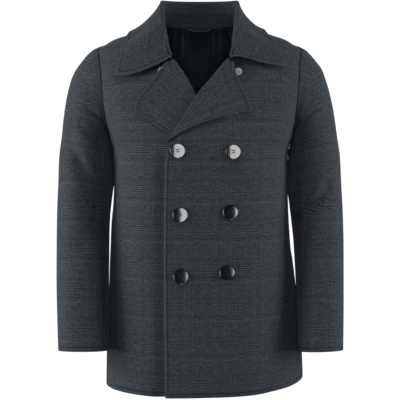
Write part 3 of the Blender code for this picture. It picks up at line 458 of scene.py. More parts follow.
def formNormal(angle, height):
    turn, rise = 0.002, 0.0005
    around = form(angle + turn, height) - form(angle - turn, height)
    upward = form(angle, height + rise) - form(angle, height - rise)
    return unit(np.cross(around, upward))


def angleAt(across, height):
    ring = bodyRing(height)
    offset = across - ring["shift"]
    share = np.clip(np.abs(offset) / ring["width"], 0, 0.9999)
    depth = ring["front"] * (1 - share ** ring["power"]) ** (1 / ring["power"])
    return np.arctan2(offset, depth)


def pushOut(points, least):
    # points moved out along the form's slope until each lies at least this far outside it
    points = np.array(points, float)
    shift = 0.0002

    def outside(where):
        ring = bodyRing(where[..., 2])
        depth = np.where(where[..., 1] < 0, ring["front"], ring["back"])
        across = np.abs((where[..., 0] - ring["shift"]) / ring["width"]) ** ring["power"]
        return (across + np.abs(where[..., 1] / depth) ** ring["power"]) ** (1 / ring["power"]) - 1

    for _ in range(4):
        value = outside(points)
        slope = [outside(points + step) - outside(points - step) for step in shift * np.eye(3)]
        slope = np.stack(slope, axis=-1) / (2 * shift)
        steep = np.maximum(np.linalg.norm(slope, axis=-1), 1.0)
        short = np.maximum(least - value / steep, 0)
        points += slope / steep[..., None] * short[..., None]
    return points


def hemAt(angle):
    degrees = (np.degrees(angle) + 180) % 360 - 180
    return smoothAt(body["hem"], body["hemNames"], "height", degrees)


def armholeHeight(row):
    return armholeMiddle - armholeHalf * math.cos(math.pi * row / pattern["armRows"])


def armholeAngle(height, behind):
    ring = bodyRing(height)
    depth = armholeHalfDepth(height)
    if behind:
        return math.pi - np.arctan2(ring["side"], depth * ring["back"] / ring["front"])
    return np.arctan2(ring["side"], depth)


def liftLeft(across, height):
    # the left front lies over the right one, and higher up over the right lapel too
    under = edgeAt(-1, height) + body["liftMargin"]
    low = body["rightBreak"] - 2 * body["liftMargin"]
    layers = 1 + body["lapelLayers"] * ease(height, low, body["rightBreak"])
    lift = cloth["layer"] * layers * (1 - ease(across, under, under + body["liftFade"]))
    fromEdge = across - edgeAt(1, height)
    lift = lift + body["edgeLift"] * (1 - ease(fromEdge, 0.0, body["edgeLiftReach"])) * closedShare(height)
    roll = np.clip(1 - fromEdge / body["edgeRollReach"], 0, 1) ** 2
    return lift - body["edgeRoll"] * roll * closedShare(height)


def closedShare(height):
    # 1 where the fronts are buttoned, falling to 0 towards the lapels
    return 1 - ease(height, *body["closed"])


def hollowRight(across, height):
    # the right front sinks a little towards the left front's edge
    beside = edgeAt(1, height)
    low, high = body["hollowEnd"]
    sunk = ease(across, beside - body["hollowReach"], beside)
    level = ease(across, beside + low, beside + high)
    return -body["hollow"] * sunk * (1 - level) * closedShare(height)


# ---- grids of middle points: rows run up, columns away from the front edge
finer = cloth["finer"]
sideCells = pattern["sideRows"] * finer
rollCells = pattern["rollRows"] * finer
armCells = pattern["armRows"] * finer
neckCells = pattern["neckRows"] * finer


def frontGrid(side):
    breakHeight = body["leftBreak" if side > 0 else "rightBreak"]
    inset = side * body["edgeInset"]
    gorgeAcross = side * edgeAt(side, body["gorgeHeight"]) + body["edgeInset"]
    neckline = [(0, body["gorgeHeight"], gorgeAcross)] + body["neckline"]
    angles, heights = [], []
    near = np.array(body["nearEdge"])
    share = np.concatenate([near[:-1], np.linspace(near[-1], 1, (pattern["frontColumns"] - 1) * finer + 1)])
    for cell in range(sideCells + armCells + 1):
        if cell <= sideCells:
            up = cell / sideCells
            innerAngle = 0.0
            for _ in range(4):
                innerHeight = mix(hemAt(innerAngle), breakHeight, up)
                across = edgeAt(side, innerHeight) + inset * ease(up, 0.9, 1)
                innerAngle = angleAt(across, innerHeight)
            outerAngle = side * math.pi / 2
            angle = mix(innerAngle, outerAngle, share)
            height = mix(hemAt(angle), mix(breakHeight, body["armpitHeight"], share), up)
        else:
            above = (cell - sideCells) / finer
            if above <= pattern["rollRows"]:
                innerHeight = mix(breakHeight, body["gorgeHeight"], above / pattern["rollRows"])
                across = edgeAt(side, innerHeight) + inset
            else:
                past = above - pattern["rollRows"]
                size = sizesAt(neckline, body["necklineNames"], past)
                innerHeight, across = size["height"], side * size["across"]
            innerAngle = angleAt(across, innerHeight)
            if cell == sideCells + armCells:
                innerAngle = side * math.pi / 2
            outerHeight = armholeHeight(above)
            outerAngle = side * armholeAngle(outerHeight, False)
            angle = mix(innerAngle, outerAngle, share)
            height = mix(innerHeight, outerHeight, share)
        angles.append(angle)
        heights.append(height)
    return np.array(angles), np.array(heights)


def backGrid():
    columns = (2 * pattern["shoulderColumns"] + pattern["napeColumns"]) * finer
    shoulder = pattern["shoulderColumns"] * finer
    share = np.linspace(0, 1, columns + 1)
    lowAngle = mix(math.pi / 2, 3 * math.pi / 2, share)
    topAngle, topHeight = np.empty(columns + 1), np.empty(columns + 1)
    for j in range(columns + 1):
        fromSide = min(j, columns - j)
        if fromSide <= shoulder:
            topAngle[j] = math.pi / 2 if 2 * j < columns else 3 * math.pi / 2
            topHeight[j] = mix(body["shoulderHeight"], body["neckPointHeight"], fromSide / shoulder)
        else:
            turn = (j - shoulder) / (pattern["napeColumns"] * finer)
            topAngle[j] = mix(math.pi / 2, 3 * math.pi / 2, turn)
            topHeight[j] = mix(body["neckPointHeight"], body["napeHeight"], math.sin(math.pi * turn))
    angles, heights = [], []
    for cell in range(sideCells + armCells + 1):
        if cell <= sideCells:
            angles.append(lowAngle)
            heights.append(mix(hemAt(lowAngle), body["armpitHeight"], cell / sideCells))
            continue
        up = (cell - sideCells) / armCells
        sideHeight = armholeHeight((cell - sideCells) / finer)
        leftAngle = armholeAngle(sideHeight, True)
        sideLine = mix(leftAngle, 2 * math.pi - leftAngle, share)
        angles.append(mix(lowAngle, topAngle, up) + sideLine - lowAngle)
        level = mix(body["armpitHeight"], topHeight, up)
        heights.append(level + sideHeight - mix(body["armpitHeight"], body["shoulderHeight"], up))
    return np.array(angles), np.array(heights)


def gridNormals(points, toward=None, closed=False, first=None):
    # facing the given way all over, or like the given normals along the first column
    if closed:
        across = np.roll(points, -1, axis=1) - np.roll(points, 1, axis=1)
    else:
        across = np.gradient(points, axis=1)
    normals = unit(np.cross(across, np.gradient(points, axis=0)))
    if toward is not None and np.sum(normals * toward) < 0:
        normals = -normals
    if first is not None and np.sum(normals[:, 0] * first) < 0:
        normals = -normals
    return normals


def lengthsAlong(points, axis):
    # distance along a grid's rows or columns, from its first line
    steps = np.linalg.norm(np.diff(points, axis=axis), axis=-1)
    shape = list(points.shape[:2])
    shape[axis] = 1
    return np.concatenate([np.zeros(shape), np.cumsum(steps, axis=axis)], axis=axis)


def bodyUv(angles, heights, start):
    # the cloth's own metres: across from the middle line at each height, and up along lines of equal reach
    shares = np.linspace(0, 1, 41)[:, None, None]
    around = form(start + (angles - start) * shares, heights + 0 * shares)
    u = np.sign(angles - start) * np.linalg.norm(np.diff(around, axis=0), axis=-1).sum(axis=0)
    across = form(angles, heights)[..., 0]
    base = body["uvLevel"]
    levels = base + (heights - base) * shares
    ring = bodyRing(levels)
    share = np.clip(np.abs(across - ring["shift"]) / ring["width"], 0, 1)
    depth = ring["front"] if start == 0 else ring["back"]
    y = depth * (1 - share ** ring["power"]) ** (1 / ring["power"])
    rise = np.hypot(np.diff(levels, axis=0), np.diff(y, axis=0)).sum(axis=0)
    return np.stack([u, base + np.sign(heights - base) * rise], axis=-1)


# ---- walls of cloth
def makeWall(name, points, normals, uv, gap, finishes, soft, thickness=None, seam=None, shade=None):
    # a closed wall around a grid of middle points, its rim rounded by a share of half the thickness
    thickness = thickness or cloth["thickness"]
    rows, columns = points.shape[:2]
    index = np.arange(rows * columns).reshape(rows, columns)
    loop = np.concatenate([index[0, :-1], index[:-1, -1], index[-1, :0:-1], index[:0:-1, 0]])
    flatPoints, flatNormals = points.reshape(-1, 3).copy(), normals.reshape(-1, 3)
    rim = flatPoints[loop]
    along = unit(np.roll(rim, -1, axis=0) - np.roll(rim, 1, axis=0))
    away = unit(np.cross(along, flatNormals[loop]))
    padded = np.pad(points, ((1, 1), (1, 1), (0, 0)), mode="edge")
    inner = (padded[:-2, 1:-1] + padded[2:, 1:-1] + padded[1:-1, :-2] + padded[1:-1, 2:]) / 4
    inward = (inner.reshape(-1, 3) - flatPoints)[loop]
    if np.sum(away * inward) > 0:
        away = -away
    half = thickness / 2
    flatPoints[loop] -= away * half * soft
    outer = flatPoints + flatNormals * half
    under = flatPoints - flatNormals * half
    steps = cloth["rimSteps"]
    rims = []
    for k in range(1, steps):
        turn = math.pi * k / steps
        rise = flatNormals[loop] * half * math.cos(turn)
        rims.append(flatPoints[loop] + rise + away * half * soft * math.sin(turn))
    vertices = np.concatenate([outer, under] + rims)
    a, b = index[:-1, :-1].ravel(), index[:-1, 1:].ravel()
    d, c = index[1:, :-1].ravel(), index[1:, 1:].ravel()
    count = rows * columns
    top = np.stack([a, b, c, d], axis=-1)
    bottom = np.stack([d, c, b, a], axis=-1) + count
    between = [2 * count + len(loop) * k + np.arange(len(loop)) for k in range(steps - 1)]
    lines = [loop] + between + [loop + count]
    side = []
    for upper, lower in zip(lines, lines[1:]):
        side.append(np.stack([np.roll(upper, -1), upper, lower, np.roll(lower, -1)], axis=-1))
    faces = np.concatenate([top, bottom] + side)
    cut = vertices[top]
    facing = np.cross(cut[:, 1] - cut[:, 0], cut[:, 2] - cut[:, 0])
    if np.sum(facing * flatNormals[a]) < 0:
        faces = faces[:, ::-1]
    mesh = bpy.data.meshes.new(name)
    mesh.vertices.add(len(vertices))
    mesh.vertices.foreach_set("co", vertices.astype(np.float32).ravel())
    mesh.loops.add(4 * len(faces))
    mesh.loops.foreach_set("vertex_index", faces.astype(np.int32).ravel())
    mesh.polygons.add(len(faces))
    mesh.polygons.foreach_set("loop_start", np.arange(0, 4 * len(faces), 4, dtype=np.int32))
    mesh.update(calc_edges=True)
    source = np.concatenate([np.arange(count), np.arange(count)] + [loop] * (steps - 1))
    layer = mesh.uv_layers.new(name="cloth")
    layer.data.foreach_set("uv", uv.reshape(-1, 2)[source[faces.ravel()]].astype(np.float32).ravel())
    # the last attribute holds painted shade on wool pieces and a painted highlight on lining pieces
    for label, values in (("edgeGap", gap), ("seamGap", seam), ("paintedShadeAndLight", shade)):
        if values is None:
            values = np.full(points.shape[:2], 0.0 if label == "paintedShadeAndLight" else 1.0)
        made = mesh.attributes.new(label, "FLOAT", "POINT")
        made.data.foreach_set("value", values.reshape(-1)[source].astype(np.float32))
    for finish in finishes:
        mesh.materials.append(finish)
    if len(finishes) > 1:
        slots = np.zeros(len(faces), np.int32)
        slots[len(top):2 * len(top)] = 1
        mesh.polygons.foreach_set("material_index", slots)
    mesh.shade_smooth()
    mesh.validate()
    made = bpy.data.objects.new(name, mesh)
    coat.objects.link(made)
    return made


def gapFrom(points, borders):
    # distance to the nearest of the named borders
    down, over = lengthsAlong(points, 0), lengthsAlong(points, 1)
    lengths = {"bottom": down, "top": down[-1:] - down, "first": over, "last": over[:, -1:] - over}
    gap = np.full(points.shape[:2], 1.0)
    for border in borders:
        gap = np.minimum(gap, lengths[border])
    return gap


# ---- shader maths: a wrapped socket with its operators, and a finish that adds nodes
class Value:
    def __init__(self, finish, socket):
        self.finish = finish
        self.socket = socket

    def math(self, operation, other=None, swapped=False):
        values = [self] if other is None else ([other, self] if swapped else [self, other])
        return self.finish.add("ShaderNodeMath", {"operation": operation}, dict(enumerate(values)))

    def __rsub__(self, other):
        return self.math("SUBTRACT", other, True)


def addOperator(method, operation):
    setattr(Value, method, lambda value, *other: value.math(operation, *other))


for method, operation in {
    "__add__": "ADD", "__radd__": "ADD", "__sub__": "SUBTRACT", "__mul__": "MULTIPLY",
    "__mod__": "FLOORED_MODULO", "__lt__": "LESS_THAN", "floor": "FLOOR", "wave": "SINE", "size": "ABSOLUTE",
}.items():
    addOperator(method, operation)


class Finish:
    def __init__(self, name):
        self.material = bpy.data.materials.new(name)
        self.material.use_nodes = True
        self.tree = self.material.node_tree
        self.shader = self.tree.nodes["Principled BSDF"]

    def add(self, kind, settings=None, sockets=None, result=0):
        made = self.tree.nodes.new(kind)
        for name, value in (settings or {}).items():
            setattr(made, name, value)
        for name, value in (sockets or {}).items():
            self.set(made.inputs[name], value)
        return Value(self, made.outputs[result])

    def set(self, socket, value):
        if isinstance(value, Value):
            self.tree.links.new(value.socket, socket)
        else:
            socket.default_value = value

    def shaderSet(self, **sockets):
        for name, value in sockets.items():
            self.set(self.shader.inputs[name.replace("_", " ")], value)

    def attribute(self, name):
        return self.add("ShaderNodeAttribute", {"attribute_name": name}, None, 2)

    def noise(self, place, scale, detail):
        return self.add("ShaderNodeTexNoise", None, {"Vector": place, "Scale": scale, "Detail": detail})

    def bump(self, height, strength):
        return self.add("ShaderNodeBump", None, {"Height": height, "Distance": 1.0, "Strength": strength})

    def clothPlace(self):
        # the cloth's own metres: both together, across, and up
        uv = self.add("ShaderNodeUVMap", {"uv_map": "cloth"})
        return uv, *(self.add("ShaderNodeSeparateXYZ", None, {0: uv}, part) for part in (0, 1))


def blendColour(finish, share, first, second, clamped=True):
    settings = {"data_type": "RGBA", "clamp_factor": clamped}
    return finish.add("ShaderNodeMix", settings, {"Factor": share, 6: first, 7: second}, 2)


# ---- glen check wool, charted in threads
wool = {
    "darkThread": (0.0072, 0.0116, 0.0168, 1.0),
    "lightThread": (0.0785, 0.0900, 0.1005, 1.0),
    # the colour of painted shade: in the stitching groove, at the seams, under collar and lapels and on the
    # sleeves' inner sides
    "paintedShadeColour": (0.0030, 0.0045, 0.0065, 1.0),
    "repeat": 0.079,
    "threads": 144,
    "bold": 18,  # half the bold band's breadth, in threads
    "darkLine": (34, 3.0),  # how far from the band's middle on both sides, and half its breadth
    "lightLine": (-51, 2.2),
    "bandAcross": -0.009,  # where the middles of one upright and one level band lie
    "bandUp": -0.028,
    "lean": 0.03,
    "uprightStrength": 0.45,  # upright lines are fainter than level ones
    "boldWeftShare": 0.35,  # how much more of itself the bold weft shows
    "groovePlace": 0.0085,  # the edge stitching's distance from the edge
    # the stitching groove and the seams are sunk, and darkened with painted shade
    "groove": {"reach": (0.0004, 0.0022), "depth": 0.0008, "shade": 0.50},
    "seam": {"reach": (0.0003, 0.0018), "depth": 0.0010, "shade": 0.65},
    # painted highlight: the cloth turns lighter toward the rolled edges of collar and lapels
    "paintedEdgeHighlight": (0.0010, 0.0028),
    # noise along the cloth: how often in a metre across and up, and its detail
    "streaks": {
        "weft": (60.0, 430.0, 2.0),
        "warp": (430.0, 80.0, 2.0),
        "fineWeft": (260.0, 1900.0, 1.0),
        "fineWarp": (1900.0, 260.0, 1.0),
        "cloudy": (250.0, 290.0, 2.0),
    },
    "checkContrast": 0.80,
    "lineContrast": (0.36, 1.4),  # plain, and what the weft's streaks add to it
    "inColour": {"melange": 0.9, "weft": 0.95, "warp": 0.60, "cloudy": 1.25},
    "mostLight": 1.6,
    "rib": 0.00004,
    "inRelief": {"melange": 0.00006, "cloudy": 0.00025, "weft": 0.00015},
}


def threadsOf(coordinate, middle):
    thread = ((coordinate - middle) * (wool["threads"] / wool["repeat"])).floor()
    half = wool["threads"] / 2
    place = (thread + half) % wool["threads"] - half  # counted from the band's middle
    boldPart = place.size() < wool["bold"]
    wide = (thread % 8) < 4
    narrow = (thread % 4) < 2
    light = boldPart * wide + (1 - boldPart) * narrow
    dark = (place.size() - wool["darkLine"][0]).size() < wool["darkLine"][1]
    bright = (place - wool["lightLine"][0]).size() < wool["lightLine"][1]
    return thread, light, bright - dark, boldPart


def streaks(finish, uv, across, up, detail):
    scaled = finish.add("ShaderNodeMapping", None, {"Vector": uv, "Scale": (across, up, 1.0)})
    return finish.noise(scaled, 1.0, detail) - 0.5


def near(finish, distance, full, none):
    # 1 up to the first distance, falling to 0 at the second one
    sockets = {0: distance, 1: full, 2: none, 3: 1.0, 4: 0.0}
    return finish.add("ShaderNodeMapRange", {"interpolation_type": "SMOOTHSTEP"}, sockets)


def makeWool(name, checkStrength=1.0, edgeLight=0.0):
    finish = Finish(name)
    uv, u, v = finish.clothPlace()
    warp, warpLight, warpLine, warpBold = threadsOf(u - v * wool["lean"], wool["bandAcross"])
    weft, weftLight, weftLine, weftBold = threadsOf(v, wool["bandUp"])
    onTop = ((warp + weft) % 4) < 2
    onTop = onTop * (1 - weftBold * wool["boldWeftShare"] * (1 - warpBold))
    light = onTop * warpLight + (1 - onTop) * weftLight
    line = onTop * warpLine * wool["uprightStrength"] + (1 - onTop) * weftLine
    # melange: the yarn runs lighter and darker along itself, mostly in the weft
    noise = {part: streaks(finish, uv, *sizes) for part, sizes in wool["streaks"].items()}
    noise["melange"] = onTop * noise["fineWarp"] + (1 - onTop) * noise["fineWeft"]
    plain, streaked = wool["lineContrast"]
    share = (light - 0.5) * (wool["checkContrast"] * checkStrength) + 0.5
    share = share + line * (noise["weft"] * streaked + plain) * checkStrength
    for part, weight in wool["inColour"].items():
        share = share + noise[part] * weight
    share = finish.add("ShaderNodeClamp", None, {"Value": share, "Max": wool["mostLight"]})
    colour = blendColour(finish, share, wool["darkThread"], wool["lightThread"], False)
    # relief: twill ribs, the streaks, and the sunk lines of stitching and seams
    height = ((warp + weft) * (math.pi / 2)).wave() * wool["rib"]
    for part, weight in wool["inRelief"].items():
        height = height + noise[part] * weight
    gap = finish.attribute("edgeGap")
    groove = near(finish, (gap - wool["groovePlace"]).size(), *wool["groove"]["reach"])
    sunk = near(finish, finish.attribute("seamGap"), *wool["seam"]["reach"])
    height = height - groove * wool["groove"]["depth"] - sunk * wool["seam"]["depth"]
    # painted highlight along the rolled edges, where they catch the light
    if edgeLight:
        edgeHighlight = near(finish, gap, *wool["paintedEdgeHighlight"]) * edgeLight
        colour = blendColour(finish, edgeHighlight, colour, wool["lightThread"])
    # painted shade: groove, seams and the painted-shade attribute darken the colour
    shade = groove * wool["groove"]["shade"] + sunk * wool["seam"]["shade"] + finish.attribute("paintedShadeAndLight")
    finish.shaderSet(
        Base_Color=blendColour(finish, shade, colour, wool["paintedShadeColour"]),
        Roughness=0.86 + noise["melange"] * 0.16, Normal=finish.bump(height, 0.7),
        Specular_IOR_Level=0.20, Sheen_Weight=0.09, Sheen_Roughness=0.5,
    )
    return finish.material


liningCloth = {
    "colour": (0.0045, 0.0085, 0.0150, 1.0),
    "edge": (0.026, 0.042, 0.062, 1.0),
    "paintedRidgeHighlight": (0.130, 0.170, 0.220, 1.0),
    "twill": 0.0009,
}


def makeLining():
    finish = Finish("lining")
    uv, u, v = finish.clothPlace()
    twill = ((u + v) * (2 * math.pi / liningCloth["twill"])).wave()
    cloudy = finish.noise(uv, 60.0, 3.0)
    colour = blendColour(finish, twill * 0.12 + cloudy * 0.6, liningCloth["colour"], liningCloth["edge"])
    # on the lining this attribute holds a painted highlight: on the gathers' ridges, and along the loop's
    # edges
    finish.shaderSet(
        Base_Color=blendColour(finish, finish.attribute("paintedShadeAndLight"), colour, liningCloth["paintedRidgeHighlight"]),
        Roughness=0.46 + cloudy * 0.12, Normal=finish.bump(twill * 0.00002 + cloudy * 0.0004, 0.5),
        Specular_IOR_Level=0.20, Sheen_Weight=0.05,
    )
    return finish.material


def makeGloss(name, colour, wornColour, roughness, scale):
    finish = Finish(name)
    place = finish.add("ShaderNodeTexCoord", None, None, 3)
    cloudy, fine = finish.noise(place, scale, 4.0), finish.noise(place, scale * 9, 2.0)
    finish.shaderSet(
        Base_Color=blendColour(finish, cloudy, colour, wornColour),
        Roughness=roughness + (fine - 0.5) * 0.08, Normal=finish.bump(fine * 0.000003, 0.4),
        Coat_Weight=0.6, Coat_Roughness=0.04,
    )
    return finish.material


def makeThread(name, colour):
    finish = Finish(name)
    fine = finish.noise(finish.add("ShaderNodeTexCoord", None, None, 3), 2500.0, 2.0)
    lighter = tuple(1.6 * c for c in colour[:3]) + (1.0,)
    finish.shaderSet(Base_Color=blendColour(finish, fine, colour, lighter), Roughness=0.6 + fine * 0.2)
    return finish.material


woolFinish = makeWool("wool")
# collar and lapels: a fainter check, and a painted highlight along their rolled edges
turnedFinish = makeWool("turned wool", checkStrength=0.72, edgeLight=0.30)
liningFinish = makeLining()
buttonFinish = makeGloss("button", (0.0035, 0.0035, 0.004, 1.0), (0.006, 0.006, 0.007, 1.0), 0.09, 240.0)
silverFinish = makeGloss("neck button", (0.30, 0.32, 0.34, 1.0), (0.44, 0.46, 0.48, 1.0), 0.30, 420.0)
threadFinish = makeThread("thread", (0.006, 0.007, 0.008, 1.0))
print("finishes made")


# ---- body
def bodyGrids():
    grids = {}
    for name, side in (("left", 1), ("right", -1)):
        angles, heights = frontGrid(side)
        points, normals = form(angles, heights), formNormal(angles, heights)
        lift = (liftLeft if side > 0 else hollowRight)(points[..., 0], points[..., 2])
        points = points + normals * lift[..., None]
        grids[name] = {"points": points, "normals": normals, "uv": bodyUv(angles, heights, 0.0)}
    angles, heights = backGrid()
    grids["back"] = {
        "points": form(angles, heights),
        "normals": formNormal(angles, heights),
        "uv": bodyUv(angles, heights, math.pi),
    }
    return grids


upward = slice(sideCells, sideCells + armCells + 1)
halfGap = cloth["seamGap"] / 2


def sleeveGrid(side, grids):
    name = "left" if side > 0 else "right"
    rows = [row + depth for row, depth in zip(sleeveSizes[name], sleeveSizes["depths"])]
    front, back = grids[name], grids["back"]
    backColumn = 0 if side > 0 else -1
    seam = []
    for part in ("points", "normals"):
        seam.append(np.concatenate([front[part][upward, -1][::-1][:-1], back[part][upward, backColumn][:-1]]))
    count = 2 * armCells
    phase = 2 * math.pi * np.arange(count) / count
    ringCount = pattern["sleeveRings"] * finer
    points = []
    for ring in range(ringCount + 1):
        size = sizesAt(rows, sleeveSizes["names"], (len(rows) - 1) * ring / ringCount)
        power = size["power"]
        reach = (np.abs(np.cos(phase)) ** power + np.abs(np.sin(phase)) ** power) ** (-1 / power)
        outward, forward = reach * np.cos(phase), reach * np.sin(phase)
        depth = np.where(forward > 0, size["front"], size["back"])
        across = (size["outer"] + size["inner"]) / 2 + (size["outer"] - size["inner"]) / 2 * outward
        height = (size["outerHeight"] + size["innerHeight"]) / 2
        height = height + (size["outerHeight"] - size["innerHeight"]) / 2 * outward
        lean = height + size["rise"] * depth * forward
        points.append(np.stack([side * across, size["middle"] - depth * forward, lean], axis=-1))
    points = np.array(points)
    offSeam = seam[0] - points[0]
    for ring in range(ringCount + 1):
        at = (len(rows) - 1) * ring / ringCount
        points[ring] += offSeam * (1 - ease(at, 0, sleeveSizes["seamFadeRows"]))
    outward = points - points.mean(axis=1, keepdims=True)
    normals = gridNormals(points, outward, closed=True)
    begin = ease(np.arange(ringCount + 1) / finer, 0.0, 1.0)[:, None]
    for path, startDepth, endDepth, breadth, facing in sleeveSizes[f"{name}Folds"]:
        shown = ease(-facing * normals[..., 1], *sleeveSizes["foldFacing"]) * begin
        dent = pathDent(points[..., 0], points[..., 2], path, startDepth, endDepth, breadth)
        points = points - normals * (dent * shown)[..., None]
    centres = points.mean(axis=1)
    along = unit(np.gradient(centres, axis=0))[:, None]
    run = lengthsAlong(centres[:, None], 0)
    v = sleeveSizes["uvStart"] - run - np.sum((points - centres[:, None]) * along, axis=-1)
    step = np.roll(points, -1, axis=1) - points
    step = step - np.sum(step * along, axis=-1, keepdims=True) * along
    u = np.cumsum(np.linalg.norm(step, axis=-1), axis=1)
    u = np.concatenate([np.zeros((len(u), 1)), u], axis=1)  # one more, for the way back to the start
    return points, gridNormals(points, outward, closed=True), u, v, seam


def seamSides(seam, shared, toward):
    # the two lines on both sides of a seam, half its width from it: the one that points toward, and the other
    aside = unit(np.cross(unit(toward[0]), shared))
    aside *= np.sign(np.sum(aside * toward[1], axis=-1, keepdims=True))
    return seam + aside * halfGap, seam - aside * halfGap


def pullIn(points, row, column, innerRow, innerColumn):
    # a border moved in by half a seam's width
    points[row, column] += unit(points[innerRow, innerColumn] - points[row, column]) * halfGap


def makeSleeves(grids):
    made = {}
    for side, name in ((1, "left"), (-1, "right")):
        points, normals, u, v, seam = sleeveGrid(side, grids)
        shared = unit(seam[1] + normals[0])
        tangent = np.roll(seam[0], -1, axis=0) - np.roll(seam[0], 1, axis=0)
        normals[0] = shared
        points[0], bodySide = seamSides(seam[0], shared, (tangent, unit(points[1] - points[0])))
        around = np.arange(armCells + 1)
        behind = (armCells + around) % (2 * armCells)
        for grid, column, order in ((grids[name], -1, around[::-1]), (grids["back"], min(side, 0), behind)):
            grid["points"][upward, column] = bodySide[order]
            grid["normals"][upward, column] = shared[order]
        count = 2 * armCells
        underFrom, underTo = pattern["underFrom"] * finer, pattern["underTo"] * finer
        for part in ("upper", "under"):
            if part == "upper":
                columns = np.arange(underTo, count + underFrom + 1)
                across = u[:, columns % count] - u[:, -1:] * (columns < count)
            else:
                columns = np.arange(underFrom, underTo + 1)
                across = u[:, columns]
            piece = points[:, columns % count].copy()
            pullIn(piece, slice(None), 0, slice(None), 1)
            pullIn(piece, slice(None), -1, slice(None), -2)
            uv = np.stack([across, v[:, columns % count]], axis=-1)
            # painted shade on the sleeve's inner side, close to the body
            fromInner = side * piece[..., 0] - (side * points[..., 0]).min(axis=1)[:, None]
            shade = sleeveSizes["shade"] * (1 - ease(fromInner, *sleeveSizes["shadeReach"]))
            wall = makeWall(
                f"sleeve_{name}_{part}_cloth", piece, normals[:, columns % count], uv,
                gapFrom(piece, {"top"}), (woolFinish, liningFinish), 0.7, seam=lengthsAlong(piece, 0),
                shade=shade * ease(-piece[..., 2], *sleeveSizes["shadeFrom"]),
            )
            made[f"sleeve_{name}_{part}"] = (wall, piece)
    return made


def makeLapel(name, side, grids):
    rows = lapels[name]
    front = grids[name]
    span = slice(sideCells, sideCells + rollCells + 1)
    edge, normal = front["points"][span, 0].copy(), front["normals"][span, 0].copy()
    below, end = edge[-finer - 1], mix(edge[-1], edge[-1 - finer], lapels["gorgeGap"])
    edge[-finer:] = np.array([mix(below, end, k / finer) for k in range(1, finer + 1)])
    away = unit(np.cross(unit(np.gradient(edge, axis=0)), normal))
    away *= np.sign(np.sum(away * (edge - front["points"][span, 1])))
    tip = lapels["tipRow"]
    columns = pattern["lapelColumns"] * finer
    share = np.arange(1, columns + 1) / columns
    points = []
    for i in range(rollCells + 1):
        row = i / finer
        end = sizesAt(rows[: tip + 1] if row <= tip else rows[tip:], lapels["names"], row)
        fold = mix(lapels["foldTight"], lapels["foldSoft"], ease(i / rollCells, 0.5, 1.0))
        line = []
        for k in range(pattern["foldSteps"] + 1):
            turn = math.pi * k / pattern["foldSteps"]
            line.append(edge[i] + away[i] * (fold * math.sin(turn)) + normal[i] * fold * (1 - math.cos(turn)))
        across, height = mix(edge[i, 0], end["across"], share), mix(edge[i, 2], end["height"], share)
        angle = angleAt(across, height)
        above = cloth["layer"] + (2 * fold - cloth["layer"]) * (1 - share) ** 2 + end["stand"] * share**2
        if side > 0:
            above = above + liftLeft(across, height)
        line.extend(form(angle, height) + formNormal(angle, height) * above[:, None])
        points.append(line)
    points = np.array(points)
    points[:, 0] += away * halfGap
    front["points"][span, 0][:-1] -= (away * halfGap)[:-1]
    normals = gridNormals(points, first=normal)
    normals[:, 0] = normal
    # the check runs along the lapel's outer edge
    low, high = points[tip * finer, -1], points[-1, -1]
    edgeWay = unit((high - low)[[0, 2]])
    flat = points[..., [0, 2]] - low[[0, 2]]
    uv = np.stack([flat @ np.array([edgeWay[1], -edgeWay[0]]), flat @ edgeWay], axis=-1)
    gap = gapFrom(points, {"bottom", "last"})
    return makeWall(f"lapel_{name}_cloth", points, normals, uv, gap, (turnedFinish,), 0.9), points


